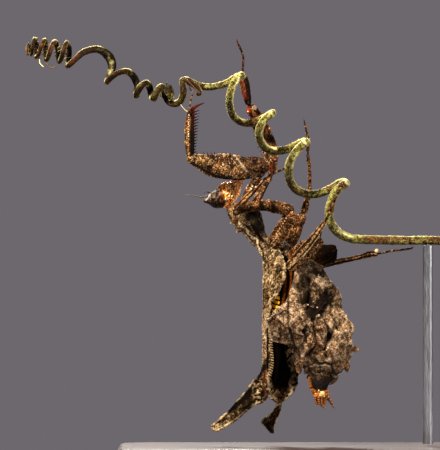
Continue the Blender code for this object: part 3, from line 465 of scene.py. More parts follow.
class Recipe:
    """Node tree of one material, built link by link."""

    def __init__(self, name, **values):
        self.material = bpy.data.materials.new(name)
        self.material.use_nodes = True
        self.tree = self.material.node_tree
        self.shader = self.tree.nodes["Principled BSDF"]
        self.place = self.tree.nodes.new("ShaderNodeTexCoord").outputs["Object"]
        for socket, value in values.items():
            self.shader.inputs[socket.replace("_", " ")].default_value = value

    def node(self, kind, **inputs):
        made = self.tree.nodes.new(kind)
        for name, value in inputs.items():
            self.put(made.inputs[name], value)
        return made

    def put(self, socket, value):
        if isinstance(value, bpy.types.NodeSocket):
            self.tree.links.new(value, socket)
        else:
            socket.default_value = value

    def mix(self, factor, first, second):
        made = self.tree.nodes.new("ShaderNodeMix")
        made.data_type = "RGBA"
        self.put(made.inputs[0], factor)
        self.put(made.inputs[6], first)
        self.put(made.inputs[7], second)
        return made.outputs[2]

    def math(self, operation, first, second=0.0, third=0.0):
        made = self.tree.nodes.new("ShaderNodeMath")
        made.operation = operation
        for socket, value in zip(made.inputs, (first, second, third)):
            self.put(socket, value)
        return made.outputs[0]

    def ramp(self, value, low, high, start=0.0, end=1.0):
        made = self.tree.nodes.new("ShaderNodeMapRange")
        made.interpolation_type = "SMOOTHSTEP"
        for name, number in zip(("Value", "From Min", "From Max", "To Min", "To Max"),
                                (value, low, high, start, end)):
            self.put(made.inputs[name], number)
        return made.outputs["Result"]

    def noise(self, size, detail, stretch=None):
        """Noise with lumps of that size in mm, longer along an axis by its stretch."""
        place = self.place
        if stretch:
            scale = tuple(1 / value for value in stretch)
            place = self.node("ShaderNodeMapping", Vector=place, Scale=scale).outputs[0]
        made = self.node("ShaderNodeTexNoise", Vector=place, Scale=1 / (size * MM), Detail=detail,
                         Roughness=0.6)
        return made.outputs[0]

    def grains(self, size):
        return self.node("ShaderNodeTexVoronoi", Vector=self.place, Scale=1 / (size * MM)).outputs["Distance"]

    def look(self):
        """Rise, accent, dark and pale of the mesh's points."""
        attribute = self.tree.nodes.new("ShaderNodeAttribute")
        attribute.attribute_name = "look"
        split = self.node("ShaderNodeSeparateColor", Color=attribute.outputs["Color"])
        return (*split.outputs[:3], attribute.outputs["Alpha"])

    def finish(self, base, roughness, height, strength, distance=0.05):
        self.put(self.shader.inputs["Base Color"], base)
        self.put(self.shader.inputs["Roughness"], roughness)
        bump = self.node("ShaderNodeBump", Height=height, Strength=strength, Distance=distance * MM)
        self.put(self.shader.inputs["Normal"], bump.outputs[0])
        return self.material


def skin(name, hollow, middle, crest, accent, pale, dark, rough=(0.45, 0.75), speck=0.5, patch=1.5,
         bump=0.6, gloss=0.04, **values):
    """Cuticle or bark: hollow to crest colours by height, with accent, pale and dark where the mesh says."""
    recipe = Recipe(name, Specular_IOR_Level=gloss, **values)
    rise, glow, shade, light = recipe.look()
    broad = recipe.noise(patch, 5)
    fine = recipe.noise(SPECK_SIZE, 3)
    height = recipe.math("ADD", rise, recipe.ramp(fine, 0.36, 0.64, -0.5 * speck, 0.5 * speck))
    # Hollow to crest by height: partly the surface's own tones, partly painted shade in hollows and light on
    # crests
    base = recipe.mix(recipe.ramp(height, 0.1, 0.5), colour(*hollow), colour(*middle))
    base = recipe.mix(recipe.ramp(height, 0.5, 0.9), base, colour(*crest))
    base = recipe.mix(recipe.ramp(broad, 0.48, 0.68, 0.0, 0.5), base, colour(*hollow))
    tinted = recipe.mix(recipe.ramp(height, 0.1, 0.75), recipe.mix(0.75, colour(*accent), colour(*dark)),
                        colour(*accent))
    base = recipe.mix(glow, base, tinted)
    # The mesh's pale and dark carry markings as well as painted highlights and painted shade
    lit = recipe.math("MULTIPLY", light, recipe.ramp(height, 0.0, 0.4, 0.4, 1.0))
    base = recipe.mix(lit, base, colour(*pale))
    amount = recipe.math("MULTIPLY", shade, recipe.ramp(height, 0.8, 1.2, 1.0, 0.8))
    amount = recipe.math("SUBTRACT", 1.0, recipe.math("POWER", recipe.math("SUBTRACT", 1.0, amount), 2.2))
    base = recipe.mix(amount, base, colour(*dark))
    bumps = recipe.math("MULTIPLY_ADD", recipe.grains(GRAIN_SIZE), 0.5, fine)
    return recipe.finish(base, recipe.ramp(fine, 0.3, 0.7, *rough), bumps, bump, 0.1)


def stand_wood():
    recipe = Recipe("stand_wood")
    grain = recipe.noise(1.4, 6, (14, 1, 1))
    pores = recipe.noise(0.35, 3, (18, 1, 1))
    base = recipe.mix(recipe.ramp(grain, 0.35, 0.65), colour(38, 26, 22), colour(70, 48, 38))
    base = recipe.mix(recipe.ramp(pores, 0.6, 0.75, 0.0, 0.6), base, colour(20, 14, 12))
    return recipe.finish(base, recipe.ramp(grain, 0.3, 0.7, 0.32, 0.5), pores, 0.15)


def stand_steel():
    recipe = Recipe("stand_steel", Metallic=1.0)
    brush = recipe.noise(0.06, 3, (1, 1, 30))
    base = recipe.mix(recipe.ramp(brush, 0.3, 0.7), colour(150, 150, 154), colour(190, 190, 192))
    return recipe.finish(base, recipe.ramp(brush, 0.3, 0.7, 0.28, 0.42), brush, 0.1, 0.02)


def floor_paint():
    recipe = Recipe("floor")
    cloud = recipe.noise(60.0, 3)
    base = recipe.mix(recipe.ramp(cloud, 0.3, 0.7), colour(196, 192, 198), colour(190, 186, 192))
    return recipe.finish(base, 0.8, cloud, 0.0)


GLOSSY = {"Coat_Weight": 0.3, "Coat_Roughness": 0.12, "gloss": 0.2}
# Colours of each skin as they are seen, 0 to 255: hollow, middle, crest, accent, pale and dark, and its
# other values
PALETTES = (
    ("tendril", (46, 42, 14), (114, 108, 46), (162, 154, 80), (112, 52, 24), (238, 226, 152), (24, 17, 8),
     {"rough": (0.5, 0.8), "speck": 0.65, "patch": 1.2}),
    ("thorax", (26, 17, 10), (88, 62, 38), (172, 138, 92), (156, 84, 28), (226, 198, 150), (16, 10, 6),
     {"speck": 0.7}),
    ("abdomen", (40, 25, 13), (112, 82, 54), (190, 154, 114), (136, 78, 34), (232, 206, 172), (16, 10, 6),
     {"speck": 0.6, "patch": 1.1, "bump": 0.9, "gloss": 0.02}),
    ("abdomen_tip", (30, 20, 12), (86, 62, 40), (150, 112, 70), (180, 90, 16), (238, 196, 124), (22, 15, 10),
     {"rough": (0.25, 0.45), "Coat_Weight": 0.12, "Coat_Roughness": 0.2}),
    ("head", (92, 38, 10), (180, 94, 22), (250, 182, 78), (255, 146, 20), (255, 240, 190), (30, 20, 14),
     {"rough": (0.25, 0.5), **GLOSSY}),
    ("eyes", (20, 12, 7), (66, 46, 32), (128, 104, 84), (130, 66, 16), (222, 206, 190), (14, 9, 6),
     {"rough": (0.35, 0.55), "speck": 0.9, "bump": 0.4, "gloss": 0.02}),
    ("mouthparts", (140, 66, 26), (200, 104, 38), (240, 190, 120), (214, 104, 28), (246, 214, 160),
     (50, 26, 18), {"rough": (0.25, 0.45), **GLOSSY}),
    ("antennae", (40, 34, 32), (84, 74, 68), (120, 108, 96), (90, 70, 60), (150, 140, 130), (16, 10, 6), {}),
    ("forelegs", (44, 28, 12), (114, 82, 44), (186, 148, 94), (146, 48, 12), (232, 204, 164), (14, 8, 5),
     {"rough": (0.4, 0.7), "speck": 0.55, "gloss": 0.02}),
    ("walking_legs", (32, 19, 9), (88, 57, 31), (164, 124, 78), (152, 72, 18), (222, 190, 140), (12, 7, 4),
     {"rough": (0.4, 0.7), "speck": 0.75, "gloss": 0.0}),
    ("forewings", (38, 24, 12), (102, 75, 45), (166, 134, 90), (120, 40, 14), (206, 178, 134), (12, 8, 5),
     {"rough": (0.5, 0.8), "speck": 0.65, "patch": 1.3, "bump": 0.8, "gloss": 0.0}),
    ("hindwings", (40, 16, 5), (84, 40, 12), (120, 66, 24), (104, 46, 10), (255, 178, 44), (8, 5, 3),
     {"rough": (0.5, 0.7), "gloss": 0.0}),
)
MATERIALS = {name: skin(name, *colours, **values) for name, *colours, values in PALETTES}


# Tendril, as in the solids

STEM_RADIUS = 0.72
WIDE_END_RADIUS = 0.57
# Stem and wide loops from right to left: (x, y, z)
WIDE_ROUTE = (
    (26.0, 0.0, 34.5), (21.5, 0.0, 34.6), (16.9, 0.0, 34.6), (12.3, -0.1, 34.7), (9.5, -0.5, 34.9),
    (7.4, -1.3, 35.8), (6.1, -2.0, 37.5), (6.0, -2.5, 39.2), (6.3, -2.6, 40.5), (6.8, -2.3, 41.8),
    (7.7, -1.4, 42.8), (8.5, 0.0, 43.4), (7.7, 1.5, 43.4), (6.2, 2.4, 42.5), (4.3, 2.6, 41.8),
    (2.5, 2.2, 41.8), (0.9, 1.2, 42.5), (-0.0, 0.0, 43.8), (-0.2, -1.2, 45.5), (0.3, -2.2, 47.3),
    (1.4, -1.6, 48.8), (2.5, 0.0, 49.8), (1.5, 1.4, 49.5), (0.0, 2.3, 48.8), (-1.8, 2.6, 48.4),
    (-3.4, 2.0, 48.6), (-4.5, 0.6, 49.8), (-4.8, -1.0, 51.3), (-4.3, -1.9, 52.6), (-3.5, -1.3, 53.6),
    (-2.7, 0.0, 54.2), (-3.4, 1.3, 53.8), (-4.8, 2.2, 53.1), (-6.3, 2.6, 52.7), (-7.8, 2.0, 53.0),
    (-8.9, 0.8, 54.1), (-9.3, -0.8, 55.6), (-9.2, -2.0, 57.2), (-8.7, -1.8, 58.7), (-8.0, -1.0, 59.6),
    (-7.4, 0.2, 60.0), (-8.3, 1.3, 59.7), (-9.8, 1.9, 58.8), (-11.7, 1.7, 58.3), (-13.4, 1.4, 58.3),
)
# Small loops, onwards to the left: (x, y, z, radius)
SMALL_ROUTE = (
    (-14.3, 1.1, 58.6, 0.57), (-15.2, 0.7, 59.0, 0.57), (-15.9, 0.3, 59.3, 0.57), (-16.5, -0.4, 59.2, 0.57),
    (-16.5, -1.1, 58.6, 0.58), (-16.4, -1.5, 57.7, 0.6), (-16.5, -1.4, 56.8, 0.6), (-16.9, -0.8, 56.0, 0.58),
    (-17.7, 0.0, 55.6, 0.57), (-18.5, 0.8, 55.9, 0.56), (-19.1, 1.4, 56.7, 0.56), (-19.3, 1.4, 57.5, 0.58),
    (-19.4, 0.8, 58.0, 0.6), (-19.8, 0.0, 58.2, 0.62), (-20.4, -0.9, 57.6, 0.63), (-20.7, -1.2, 57.0, 0.62),
    (-21.0, -0.6, 56.5, 0.6), (-21.3, 0.6, 57.0, 0.56), (-21.5, 1.2, 57.9, 0.55), (-21.7, 0.8, 58.5, 0.55),
    (-22.1, 0.0, 58.8, 0.56), (-22.7, -0.8, 58.5, 0.56), (-23.2, -1.3, 57.9, 0.56), (-23.5, -1.0, 57.3, 0.56),
    (-23.6, -0.2, 56.9, 0.55), (-23.6, 0.8, 57.6, 0.55), (-23.5, 1.5, 58.4, 0.56), (-23.8, 1.8, 59.3, 0.6),
    (-24.2, 1.3, 60.0, 0.58), (-24.9, 0.4, 60.5, 0.54), (-25.5, -0.4, 60.6, 0.52), (-26.4, -1.2, 60.4, 0.53),
    (-27.2, -1.6, 59.9, 0.55), (-27.9, -1.2, 59.3, 0.56), (-28.1, -0.3, 59.0, 0.55), (-28.0, 0.7, 59.6, 0.56),
    (-27.6, 1.5, 60.5, 0.6), (-27.4, 2.0, 61.5, 0.72), (-27.6, 1.9, 62.5, 0.78), (-28.2, 1.4, 63.3, 0.76),
    (-29.0, 0.7, 63.8, 0.7), (-30.0, -0.1, 64.0, 0.66), (-31.0, -0.9, 63.8, 0.61), (-32.0, -1.5, 63.3, 0.55),
    (-33.0, -1.7, 62.4, 0.52), (-33.8, -1.2, 61.7, 0.5), (-34.2, -0.3, 61.5, 0.48), (-34.1, 0.8, 62.2, 0.46),
    (-34.0, 1.4, 63.4, 0.45), (-34.0, 1.1, 64.4, 0.45),
)
# Turning points of the coil: x, z and radius, by turns at its top and at its foot
COIL_TURNS = (
    (-34.3, 65.0, 0.45), (-35.5, 62.1, 0.44), (-36.1, 65.2, 0.43), (-37.5, 62.4, 0.43),
    (-37.7, 65.4, 0.42), (-39.0, 62.8, 0.41), (-39.2, 65.7, 0.38), (-39.8, 63.2, 0.31),
)
COIL_DEPTH = 1.4
COIL_END = (
    (-39.8, 0.3, 63.2, 0.3), (-40.0, 0.9, 64.2, 0.29), (-40.2, 0.5, 64.9, 0.28), (-40.35, -0.1, 64.6, 0.28),
    (-40.4, -0.4, 63.9, 0.27), (-40.35, -0.5, 63.2, 0.26),
)
HALF_TURN_POINTS = 7
STEM_SIDES = 28
# Where along -x the small loops and the wound part begin, from first sign to full
SMALL_FROM = (12.0, 17.0)
WOUND_FROM = (24.5, 27.5)
# Shadow between two turns of the small part: x, z, half width and half height
CUT_SHADOW = (-19.0, 57.0, 3.4, 1.7)
# Fuzz of the wide loops: from and to which x, how many hairs, their length and radius
FUZZ_FROM = -12.0
FUZZ_TO = 25.5
FUZZ_COUNT = 20000
FUZZ_LENGTH = 0.2
FUZZ_RADIUS = 0.012
# Short side shoot that hooks over the last wide loop
HOOK = (
    (-16.2, -0.9, 59.1, 0.4, 0.4), (-15.4, -0.7, 58.9, 0.45, 0.45), (-14.6, -0.4, 58.4, 0.45, 0.45),
    (-14.0, -0.3, 57.8, 0.4, 0.4), (-13.8, -0.4, 57.3, 0.33, 0.33), (-14.2, -0.5, 57.1, 0.27, 0.27),
)
# Thin strands that cling to the tendril: places, radius and look
FILAMENTS = (
    (((-37.5, -1.6, 61.9), (-37.1, -1.9, 61.4), (-36.6, -1.9, 61.1), (-35.8, -1.6, 61.4)), 0.09,
     (0.5, 0.9, 0.2, 0.1)),
    (((-38.5, -1.6, 62.4), (-38.4, -1.8, 61.8), (-37.9, -1.9, 61.3)), 0.07, (0.9, 0.1, 0.0, 0.8)),
    (((-16.0, -1.9, 59.4), (-14.9, -1.6, 58.3), (-13.9, -1.3, 57.3)), 0.07, (0.6, 0.7, 0.2, 0.1)),
    (((-19.4, 0.6, 58.6), (-19.8, 0.3, 57.6), (-19.9, 0.1, 56.6)), 0.1, (0.9, 0.0, 0.0, 0.8)),
)
# Lines of the x-z plane: the arch's pale right side, and painted highlights on the loops' crests and strands
ARCH_SIDE = ((-27.6, 60.6), (-27.5, 62.2), (-28.2, 63.2), (-29.4, 63.8))
HIGHLIGHT_STRANDS = (
    ((-7.7, 60.0), (-8.3, 58.5), (-8.8, 56.0), (-8.1, 53.9), (-7.0, 53.0)), ((-3.1, 54.7), (-2.4, 53.6)),
    ((-3.8, 52.6), (-4.4, 50.9), (-3.6, 49.4), (-2.1, 48.7)), ((2.0, 50.1), (2.8, 49.1)),
    ((1.1, 47.9), (0.3, 45.8)), ((8.2, 44.2), (9.1, 43.1)), ((6.8, 36.8), (7.9, 35.8), (9.6, 35.2)),
)
# Places of dry scraps inside the end coil, and how many bits lie at each
COIL_SCRAP_BITS = 12
COIL_SCRAPS = ((-38.7, 0.0, 64.3), (-37.3, 0.0, 64.0), (-35.9, 0.0, 63.8), (-34.7, 0.0, 63.5))
# Places of dry leaf scraps between two turns of the small part, and how many bits lie at each
LEAF_SCRAP_BITS = 5
LEAF_SCRAPS = ((-18.6, -0.1, 58.3), (-18.9, -0.2, 57.6), (-18.2, -0.2, 57.2))
# Scrap of dead leaf in the same place: rows as in a wing
SCRAP_LEAF = (
    (-19.3, 0.0, 58.4, -18.2, 0.0, 58.6, 0.1), (-19.4, -0.3, 57.6, -17.9, -0.2, 57.8, 0.3),
    (-19.0, -0.5, 56.8, -17.8, -0.4, 56.9, 0.3), (-18.6, -0.5, 56.1, -18.1, -0.4, 56.1, 0.1),
)
TENDRIL_NODES = ("perch_stem", "perch_loop_1", "perch_loop_2", "perch_loop_3", "perch_loop_4", "perch_coil")


def coil():
    """Points of the coil, each half turn once in front of its axis and once behind it."""
    points = []
    depth = -COIL_DEPTH
    for start, end in zip(COIL_TURNS, COIL_TURNS[1:]):
        for k in range(HALF_TURN_POINTS):
            share = k / HALF_TURN_POINTS
            x = start[0] + (end[0] - start[0]) * share
            z = start[1] + (end[1] - start[1]) * (1 - np.cos(np.pi * share)) / 2
            radius = start[2] + (end[2] - start[2]) * share
            points.append((x, depth * np.sin(np.pi * share), z, radius))
        depth = -depth
    return tuple(points)


def tendril_stem():
    """The stem from its cut end to the tip of the coil, and which of its points carry fuzz."""
    sizes = np.linspace(STEM_RADIUS, WIDE_END_RADIUS, len(WIDE_ROUTE))
    route = [(*point, size) for point, size in zip(WIDE_ROUTE, sizes)] + [*SMALL_ROUTE, *coil(), *COIL_END]
    stations = [(*place, size, size) for *place, size in route]
    stem = tube(stations, 0.1, ends=(0.1, 0.6), sides=STEM_SIDES, turning=True)
    points, direction = stem.points.copy(), normals(stem)
    x, y, _ = points.T
    small = smooth(-x, *SMALL_FROM)
    wound = smooth(-x, *WOUND_FROM)
    lumps = fractal(points, 1.3, 3, 4)
    grooves = np.cos(3 * stem.around + 9 * stem.along + 1.5 * noise(points, 4.0, 9))
    fine = fractal(points, 0.35, 3, 15)
    push(stem, 0.04 * lumps + 0.035 * grooves + 0.03 * fine - 0.04 - 0.04 * wound)

    bright = near(points, ARCH_SIDE, 0.8)
    strands = near_any(points, HIGHLIGHT_STRANDS, 0.34)
    # The back strands of the small part are painted in shade
    behind = small * smooth(y, 0.2, 1.0) * (1 - smooth(bright, 0.0, 0.3))
    # Edges get a painted highlight, strongest on top, and the undersides get painted shade
    edge = smooth(1 - np.abs(direction[:, 1]), 0.5, 0.85 - 0.1 * small)
    above = smooth(direction[:, 2], -0.35, 0.55)
    under = smooth(-direction[:, 2], 0.1, 0.85) * (1 - 0.5 * small)
    patches = smooth(fractal(points, 2.2, 3, 31), 0.05, 0.45)
    mottles = smooth(fractal(points, 0.45, 3, 38), 0.1, 0.5)
    cut_shadow = spot(points, *CUT_SHADOW) * smooth(y, -0.6, 0.6)

    red = small * (0.5 + 0.6 * wound) * (1 - 0.6 * edge) * (0.8 + 0.6 * fine) * (1 - bright)
    red = red + 0.55 * patches * (1 - small) + 0.15 * (1 - edge) * smooth(x, 9.0, 12.0)
    dark = 0.45 * under * (1 - (0.3 + 0.4 * small) * edge) + 0.35 * mottles * (1 - 0.6 * edge)
    dark = dark + (0.35 - 0.1 * wound) * small * (1 - edge) - 0.08 * (1 - small)
    dark = dark + 0.95 * behind * (1 - 0.3 * edge) + 0.14 * smooth(x, 0.0, 8.0)
    dark = dark + 0.4 * patches * smooth(-x, 8.0, 10.0) * (1 - edge)
    pale = edge * (0.2 - 0.1 * wound + 0.75 * above) * (0.7 + 0.6 * fine) * (1 - 0.7 * behind)
    # Pale lines along the strands are painted highlights
    pale = np.maximum(pale, (0.9 * strands + 0.5 * bright) * (0.85 + 0.5 * fine))
    stem.paint(rise=0.4 + 0.15 * lumps + 0.2 * grooves + 0.35 * fine, accent=red + 0.75 * mottles,
               dark=np.clip(dark, 0, 0.95) * (1 - 0.6 * strands) + 0.9 * cut_shadow,
               pale=pale * (1 - cut_shadow))
    return stem, (x > FUZZ_FROM) & (x < FUZZ_TO)


def dry_scraps():
    """Bits of bark and dead leaf caught between the tendril's turns."""
    picks = np.random.default_rng(21)
    scraps = []
    for place in LEAF_SCRAPS:
        for k in range(LEAF_SCRAP_BITS):
            root = np.array(place) + picks.normal(0, 0.25, 3)
            tip = root + picks.normal(0, 0.3, 3)
            scraps.append(thorn(root, tip, 0.14, look=(0.4, 0.5, 0.5, 0.3 * (k % 2))))
    leaf = sheet(SCRAP_LEAF, RIGHT, 0.06, 0.12, ragged=0.12, seed=8)
    crumple = fractal(leaf.points, 0.7, 3, 7)
    leaf.points[:, 1] += 0.25 * crumple
    border = smooth(np.abs(2 * leaf.around - 1), 0.7, 0.95)
    low = smooth(leaf.points[:, 2], 56.8, 57.6)
    scraps.append(leaf.paint(rise=0.3 + 0.5 * crumple, accent=0.3, dark=0.6 * low, pale=0.5 * border))
    for place in COIL_SCRAPS:
        for k in range(COIL_SCRAP_BITS):
            root = np.array(place) + picks.normal(0, 1, 3) * (0.3, 0.5, 0.6)
            tip = root + picks.normal(0, 0.5, 3)
            bend = picks.normal(0, 0.15, 3)
            scraps.append(thorn(root, tip, 0.12, bend, look=(0.6, 0.7, 0.25, 0.3 * (k % 2))))
    return scraps


def tendril():
    stem, fuzzy = tendril_stem()
    hook = tube(HOOK, 0.06, sides=18)
    push(hook, 0.04 * fractal(hook.points, 0.5, 3, 12))
    rim = smooth(normals(hook)[:, 0], 0.5, 0.9)
    hook.paint(0.35, 1 - 0.7 * rim, 0.45 * (1 - rim), 0.6 * rim)
    strands = [thread(*filament) for filament in FILAMENTS]
    add_piece("tendril", join([stem, hook, *strands]), "tendril", TENDRIL_NODES)
    fuzz = hairs(stem, FUZZ_COUNT, FUZZ_LENGTH, FUZZ_RADIUS, 5, fuzzy)
    tufts = [patched(scrap, stem) for scrap in dry_scraps()]
    add_piece("tendril_hairs", join([fuzz, *tufts]), "tendril", coat=True)


# Trunk and head: the solids' stations, (x, y, z, half width, half thickness), with finer lobes and eyes

THORAX = (
    (-3.8, 0.0, 34.1, 1.4, 1.5), (-2.6, 0.0, 33.0, 2.0, 2.0), (-0.9, 0.0, 32.1, 2.1, 2.1),
    (0.3, 0.0, 31.3, 1.8, 1.8),
)
ABDOMEN = (
    (1.2, 0.0, 31.0, 1.4, 1.5), (2.5, 0.0, 29.6, 2.4, 2.4), (3.2, 0.0, 27.6, 3.3, 3.0),
    (3.7, 0.0, 25.3, 3.9, 3.4), (3.8, 0.0, 22.7, 4.4, 3.6), (4.5, 0.0, 19.6, 4.7, 3.6),
    (5.1, 0.0, 17.0, 4.3, 3.2), (5.4, 0.0, 15.0, 3.3, 2.6), (5.4, 0.0, 13.8, 2.2, 2.0),
)
ABDOMEN_LOBES = (
    ((8.0, 0.4, 19.3, 1.2, 0.8), (9.4, 0.2, 18.2, 0.6, 0.4), (10.4, 0.2, 17.8, 0.2, 0.2)),
    ((7.2, -0.6, 17.5, 1.4, 0.9), (8.4, -0.8, 15.9, 1.0, 0.5), (8.9, -1.0, 14.5, 0.3, 0.25)),
    ((2.2, -1.2, 17.5, 1.4, 0.8), (1.4, -1.6, 15.9, 0.9, 0.45), (1.4, -1.6, 14.4, 0.3, 0.25)),
)
# Upper part of the leaf-like lobe down the abdomen's right side
ABDOMEN_FLAP = (
    (2.1, -1.9, 30.4, 1.2, 0.6), (1.7, -2.6, 28.4, 1.2, 0.6), (1.4, -3.0, 26.5, 1.4, 0.6),
    (0.8, -3.2, 25.0, 1.5, 0.55), (-0.1, -3.5, 23.6, 1.7, 0.45), (-1.3, -3.7, 22.2, 2.0, 0.35),
)
ABDOMEN_TIP = (
    (4.3, 0.0, 13.6, 1.6, 1.5), (4.5, 0.0, 12.1, 1.4, 1.3), (4.7, 0.0, 10.9, 1.15, 1.0),
    (4.8, 0.0, 9.8, 0.8, 0.7),
)
CERCUS = ((5.4, 0.0, 10.8, 0.5, 0.4), (6.2, 0.0, 9.8, 0.4, 0.35), (6.8, 0.0, 8.8, 0.2, 0.2))
VALVE = ((4.3, 0.0, 10.4, 0.6, 0.4), (4.9, 0.0, 9.3, 0.4, 0.3), (5.5, 0.0, 8.7, 0.2, 0.2))
PROTHORAX = (
    (-9.1, 0.0, 39.6, 0.9, 0.9), (-8.2, 0.0, 39.0, 1.6, 1.6), (-6.8, 0.0, 38.1, 2.3, 2.3),
    (-5.8, 0.0, 36.7, 1.8, 1.9), (-5.1, 0.0, 35.3, 1.4, 1.5), (-4.3, 0.0, 34.4, 1.2, 1.4),
)
# Spikes of the neck: root, tip and radius
NECK_SPIKES = (
    ((-7.2, -1.0, 36.5), (-8.3, -1.4, 35.8), 0.5), ((-8.0, -1.4, 37.9), (-9.2, -1.9, 37.2), 0.55),
    ((-7.2, 1.0, 36.5), (-8.2, 1.4, 35.9), 0.5), ((-8.0, 1.4, 37.9), (-9.2, 1.9, 37.2), 0.55),
)
HEAD = (
    (-11.7, 0.0, 40.2, 0.6, 1.1), (-10.9, 0.0, 40.8, 1.35, 1.7), (-9.8, 0.0, 41.8, 1.7, 1.7),
    (-8.9, 0.0, 42.6, 1.4, 1.2), (-8.3, 0.0, 43.4, 0.8, 0.8),
)
# Palps in the same form
PALPS = (
    ((-7.9, -0.5, 43.8), (-8.2, -0.9, 44.7), 0.3), ((-7.6, -0.2, 43.9), (-7.1, -0.5, 44.8), 0.3),
    ((-7.9, 0.5, 43.8), (-8.2, 0.9, 44.7), 0.3), ((-7.6, 0.2, 43.9), (-7.1, 0.5, 44.8), 0.3),
)
LABRUM = ((-8.0, 0.0, 43.6, 0.85, 0.75), (-7.7, 0.0, 44.0, 0.7, 0.6), (-7.3, 0.0, 44.3, 0.35, 0.35))
# Lines in the x-z plane: creases of the abdomen, painted with shade, raised rims round its end
CREASES = (
    ((-1.2, 33.1), (-0.3, 28.5), (-0.3, 21.6), (0.8, 18.1), (2.0, 14.8)),
    ((3.5, 22.4), (3.9, 18.5), (3.1, 17.4)), ((6.9, 26.0), (6.2, 23.5), (7.4, 21.0)),
    ((0.5, 26.5), (1.9, 25.6), (2.4, 24.4)), ((5.4, 22.4), (6.1, 20.0), (5.2, 17.8), (5.6, 16.6)),
)
ABDOMEN_RIMS = (
    ((4.3, 15.3), (5.4, 15.6), (6.15, 15.3), (6.6, 14.1), (7.2, 13.9)),
    ((0.9, 19.9), (1.9, 17.0), (2.4, 14.6)),
)
# Painted shadows on the abdomen's front: lines in the x-z plane, and pits as x, z, half width and half height
HEART_SHADOW = ((2.4, 25.6), (3.8, 23.5), (5.6, 25.8))
UPPER_SHADOW = ((1.4, 30.6), (3.2, 30.0), (5.0, 29.6))
PITS = ((1.7, 20.2, 0.5, 0.45), (6.1, 19.9, 0.45, 0.5), (2.9, 17.0, 0.5, 0.7))
# Heights between which the upper abdomen darkens, as painted shade
UPPER_SHADE = (25.8, 28.4)
# Short points along the outline: their number, and the x of the axis that they point away from
BRISTLES = 80
ABDOMEN_AXIS_X = 4.5
# Lines in the x-z plane: rims of the end plate and the tip, and the seam above the bulb
PLATE_RIM = ((2.5, 14.9), (3.0, 13.2), (3.5, 11.6))
TIP_RIM = ((2.4, 14.6), (3.1, 12.6), (3.4, 11.3))
BULB_SEAM = ((3.2, 12.0), (6.0, 12.1))
# Middle of the orange bulb in the x-z plane
TIP_BULB = (4.95, 11.0)
# Glints of the bulb: how far right and up, and radius
TIP_GLINTS = ((0.05, 0.12, 0.24), (-0.5, 0.6, 0.12), (-1.0, 0.1, 0.1), (0.35, -0.35, 0.09))
# Prongs of the tip: root, tip, radius and bow, and the rings on each
TIP_PRONGS = (
    ((3.9, -0.9, 10.6), (4.1, -1.0, 9.3), 0.22, (-0.15, 0, 0)),
    ((4.4, -1.0, 10.5), (4.7, -1.1, 9.0), 0.22, (-0.1, 0, 0)),
    ((4.9, -1.0, 10.4), (5.1, -1.1, 8.85), 0.2, (-0.1, 0, 0)),
    ((5.3, -0.9, 10.4), (5.45, -1.0, 9.15), 0.2, (0, 0, 0)),
    ((5.5, -0.9, 10.9), (6.8, -0.9, 8.75), 0.15, (0.1, 0, 0.25)),
    ((5.7, -0.7, 11.0), (6.5, -0.8, 10.1), 0.1, (0.1, 0, 0.3)),
)
PRONG_RINGS = 5
# Plate between the last ring and the orange tip, dark as painted shade
END_PLATE = (
    (4.9, -0.9, 15.4, 1.3, 0.9), (4.9, -1.0, 14.2, 1.7, 0.9), (4.7, -0.9, 12.9, 1.45, 0.8),
    (4.6, -0.8, 11.9, 1.1, 0.6),
)
# Curled upper edge of the flap, in the x-z plane
FLAP_CURL = ((-3.6, 22.4), (-2.6, 23.4), (-1.2, 23.9))
# Look of a white glint, and the glints on the abdomen's painted shadow: x, z and radius
GLINT = (1, 0, 0, 1)
GLINTS = ((2.7, 24.75, 0.12), (4.15, 24.35, 0.09), (4.3, 23.3, 0.06), (3.2, 27.9, 0.07))
# Leaf-like right edge of the abdomen: inner edge, outer edge and bulge
EDGE_LEAF = (
    (6.0, -0.6, 23.6, 7.9, -0.5, 23.4, 0.2), (6.2, -0.8, 22.6, 8.9, -0.7, 22.7, 0.3),
    (6.2, -0.8, 21.6, 9.9, -0.8, 21.5, 0.3), (6.2, -0.8, 20.4, 9.8, -0.8, 20.3, 0.3),
    (6.2, -0.8, 19.2, 9.6, -0.7, 19.0, 0.3), (6.2, -0.7, 18.3, 9.8, -0.6, 18.2, 0.2),
    (6.2, -0.7, 17.9, 8.9, -0.6, 17.6, 0.2),
)
EDGE_LEAF_CREASE = ((7.6, 23.0), (8.6, 22.0), (9.3, 21.2))
# Leaf-like lower part of the flap: left edge, right edge and bulge
FLAP_LEAF = (
    (-1.4, -3.8, 24.0, 2.5, -3.2, 24.9, 0.1), (-3.7, -3.9, 22.5, 2.6, -3.4, 22.7, 0.1),
    (-3.4, -3.9, 21.0, 2.3, -3.5, 20.9, 0.1), (-3.3, -3.9, 19.8, 2.0, -3.4, 19.7, 0.1),
    (-2.6, -3.8, 19.2, 1.6, -3.3, 19.0, 0.0), (-0.4, -3.6, 18.7, 1.4, -3.3, 18.4, 0.0),
)
NECK = ((-9.6, 0.0, 41.4, 0.9, 0.9), (-9.4, 0.0, 40.4, 0.8, 0.85), (-8.8, 0.0, 39.5, 0.9, 0.95))
OCELLI = ((-11.6, -0.35, 41.5), (-11.6, 0.35, 41.5), (-11.9, 0.0, 41.2))
FACE_SPIKES = ((-8.5, -0.9, 43.7), (-8.1, -0.7, 43.9), (-9.5, -0.9, 43.2))
FACE_WARTS = 220
# Values of x + 0.2 z between which the head turns into the orange face
FACE_FROM = (-2.3, -1.7)
# Lit streak on the eyes, in the x-z plane
EYE_STREAK = ((-12.95, 40.8), (-12.3, 41.65))
# Rings of a palp and of an antenna, and places on the prothorax that its teeth grow from
PALP_RINGS = 3.5
ANTENNA_RINGS = 26
COLLAR_PLACES = 26
# Points count as equally far from a place when they are less than about this apart
FACING_STEP = 0.15
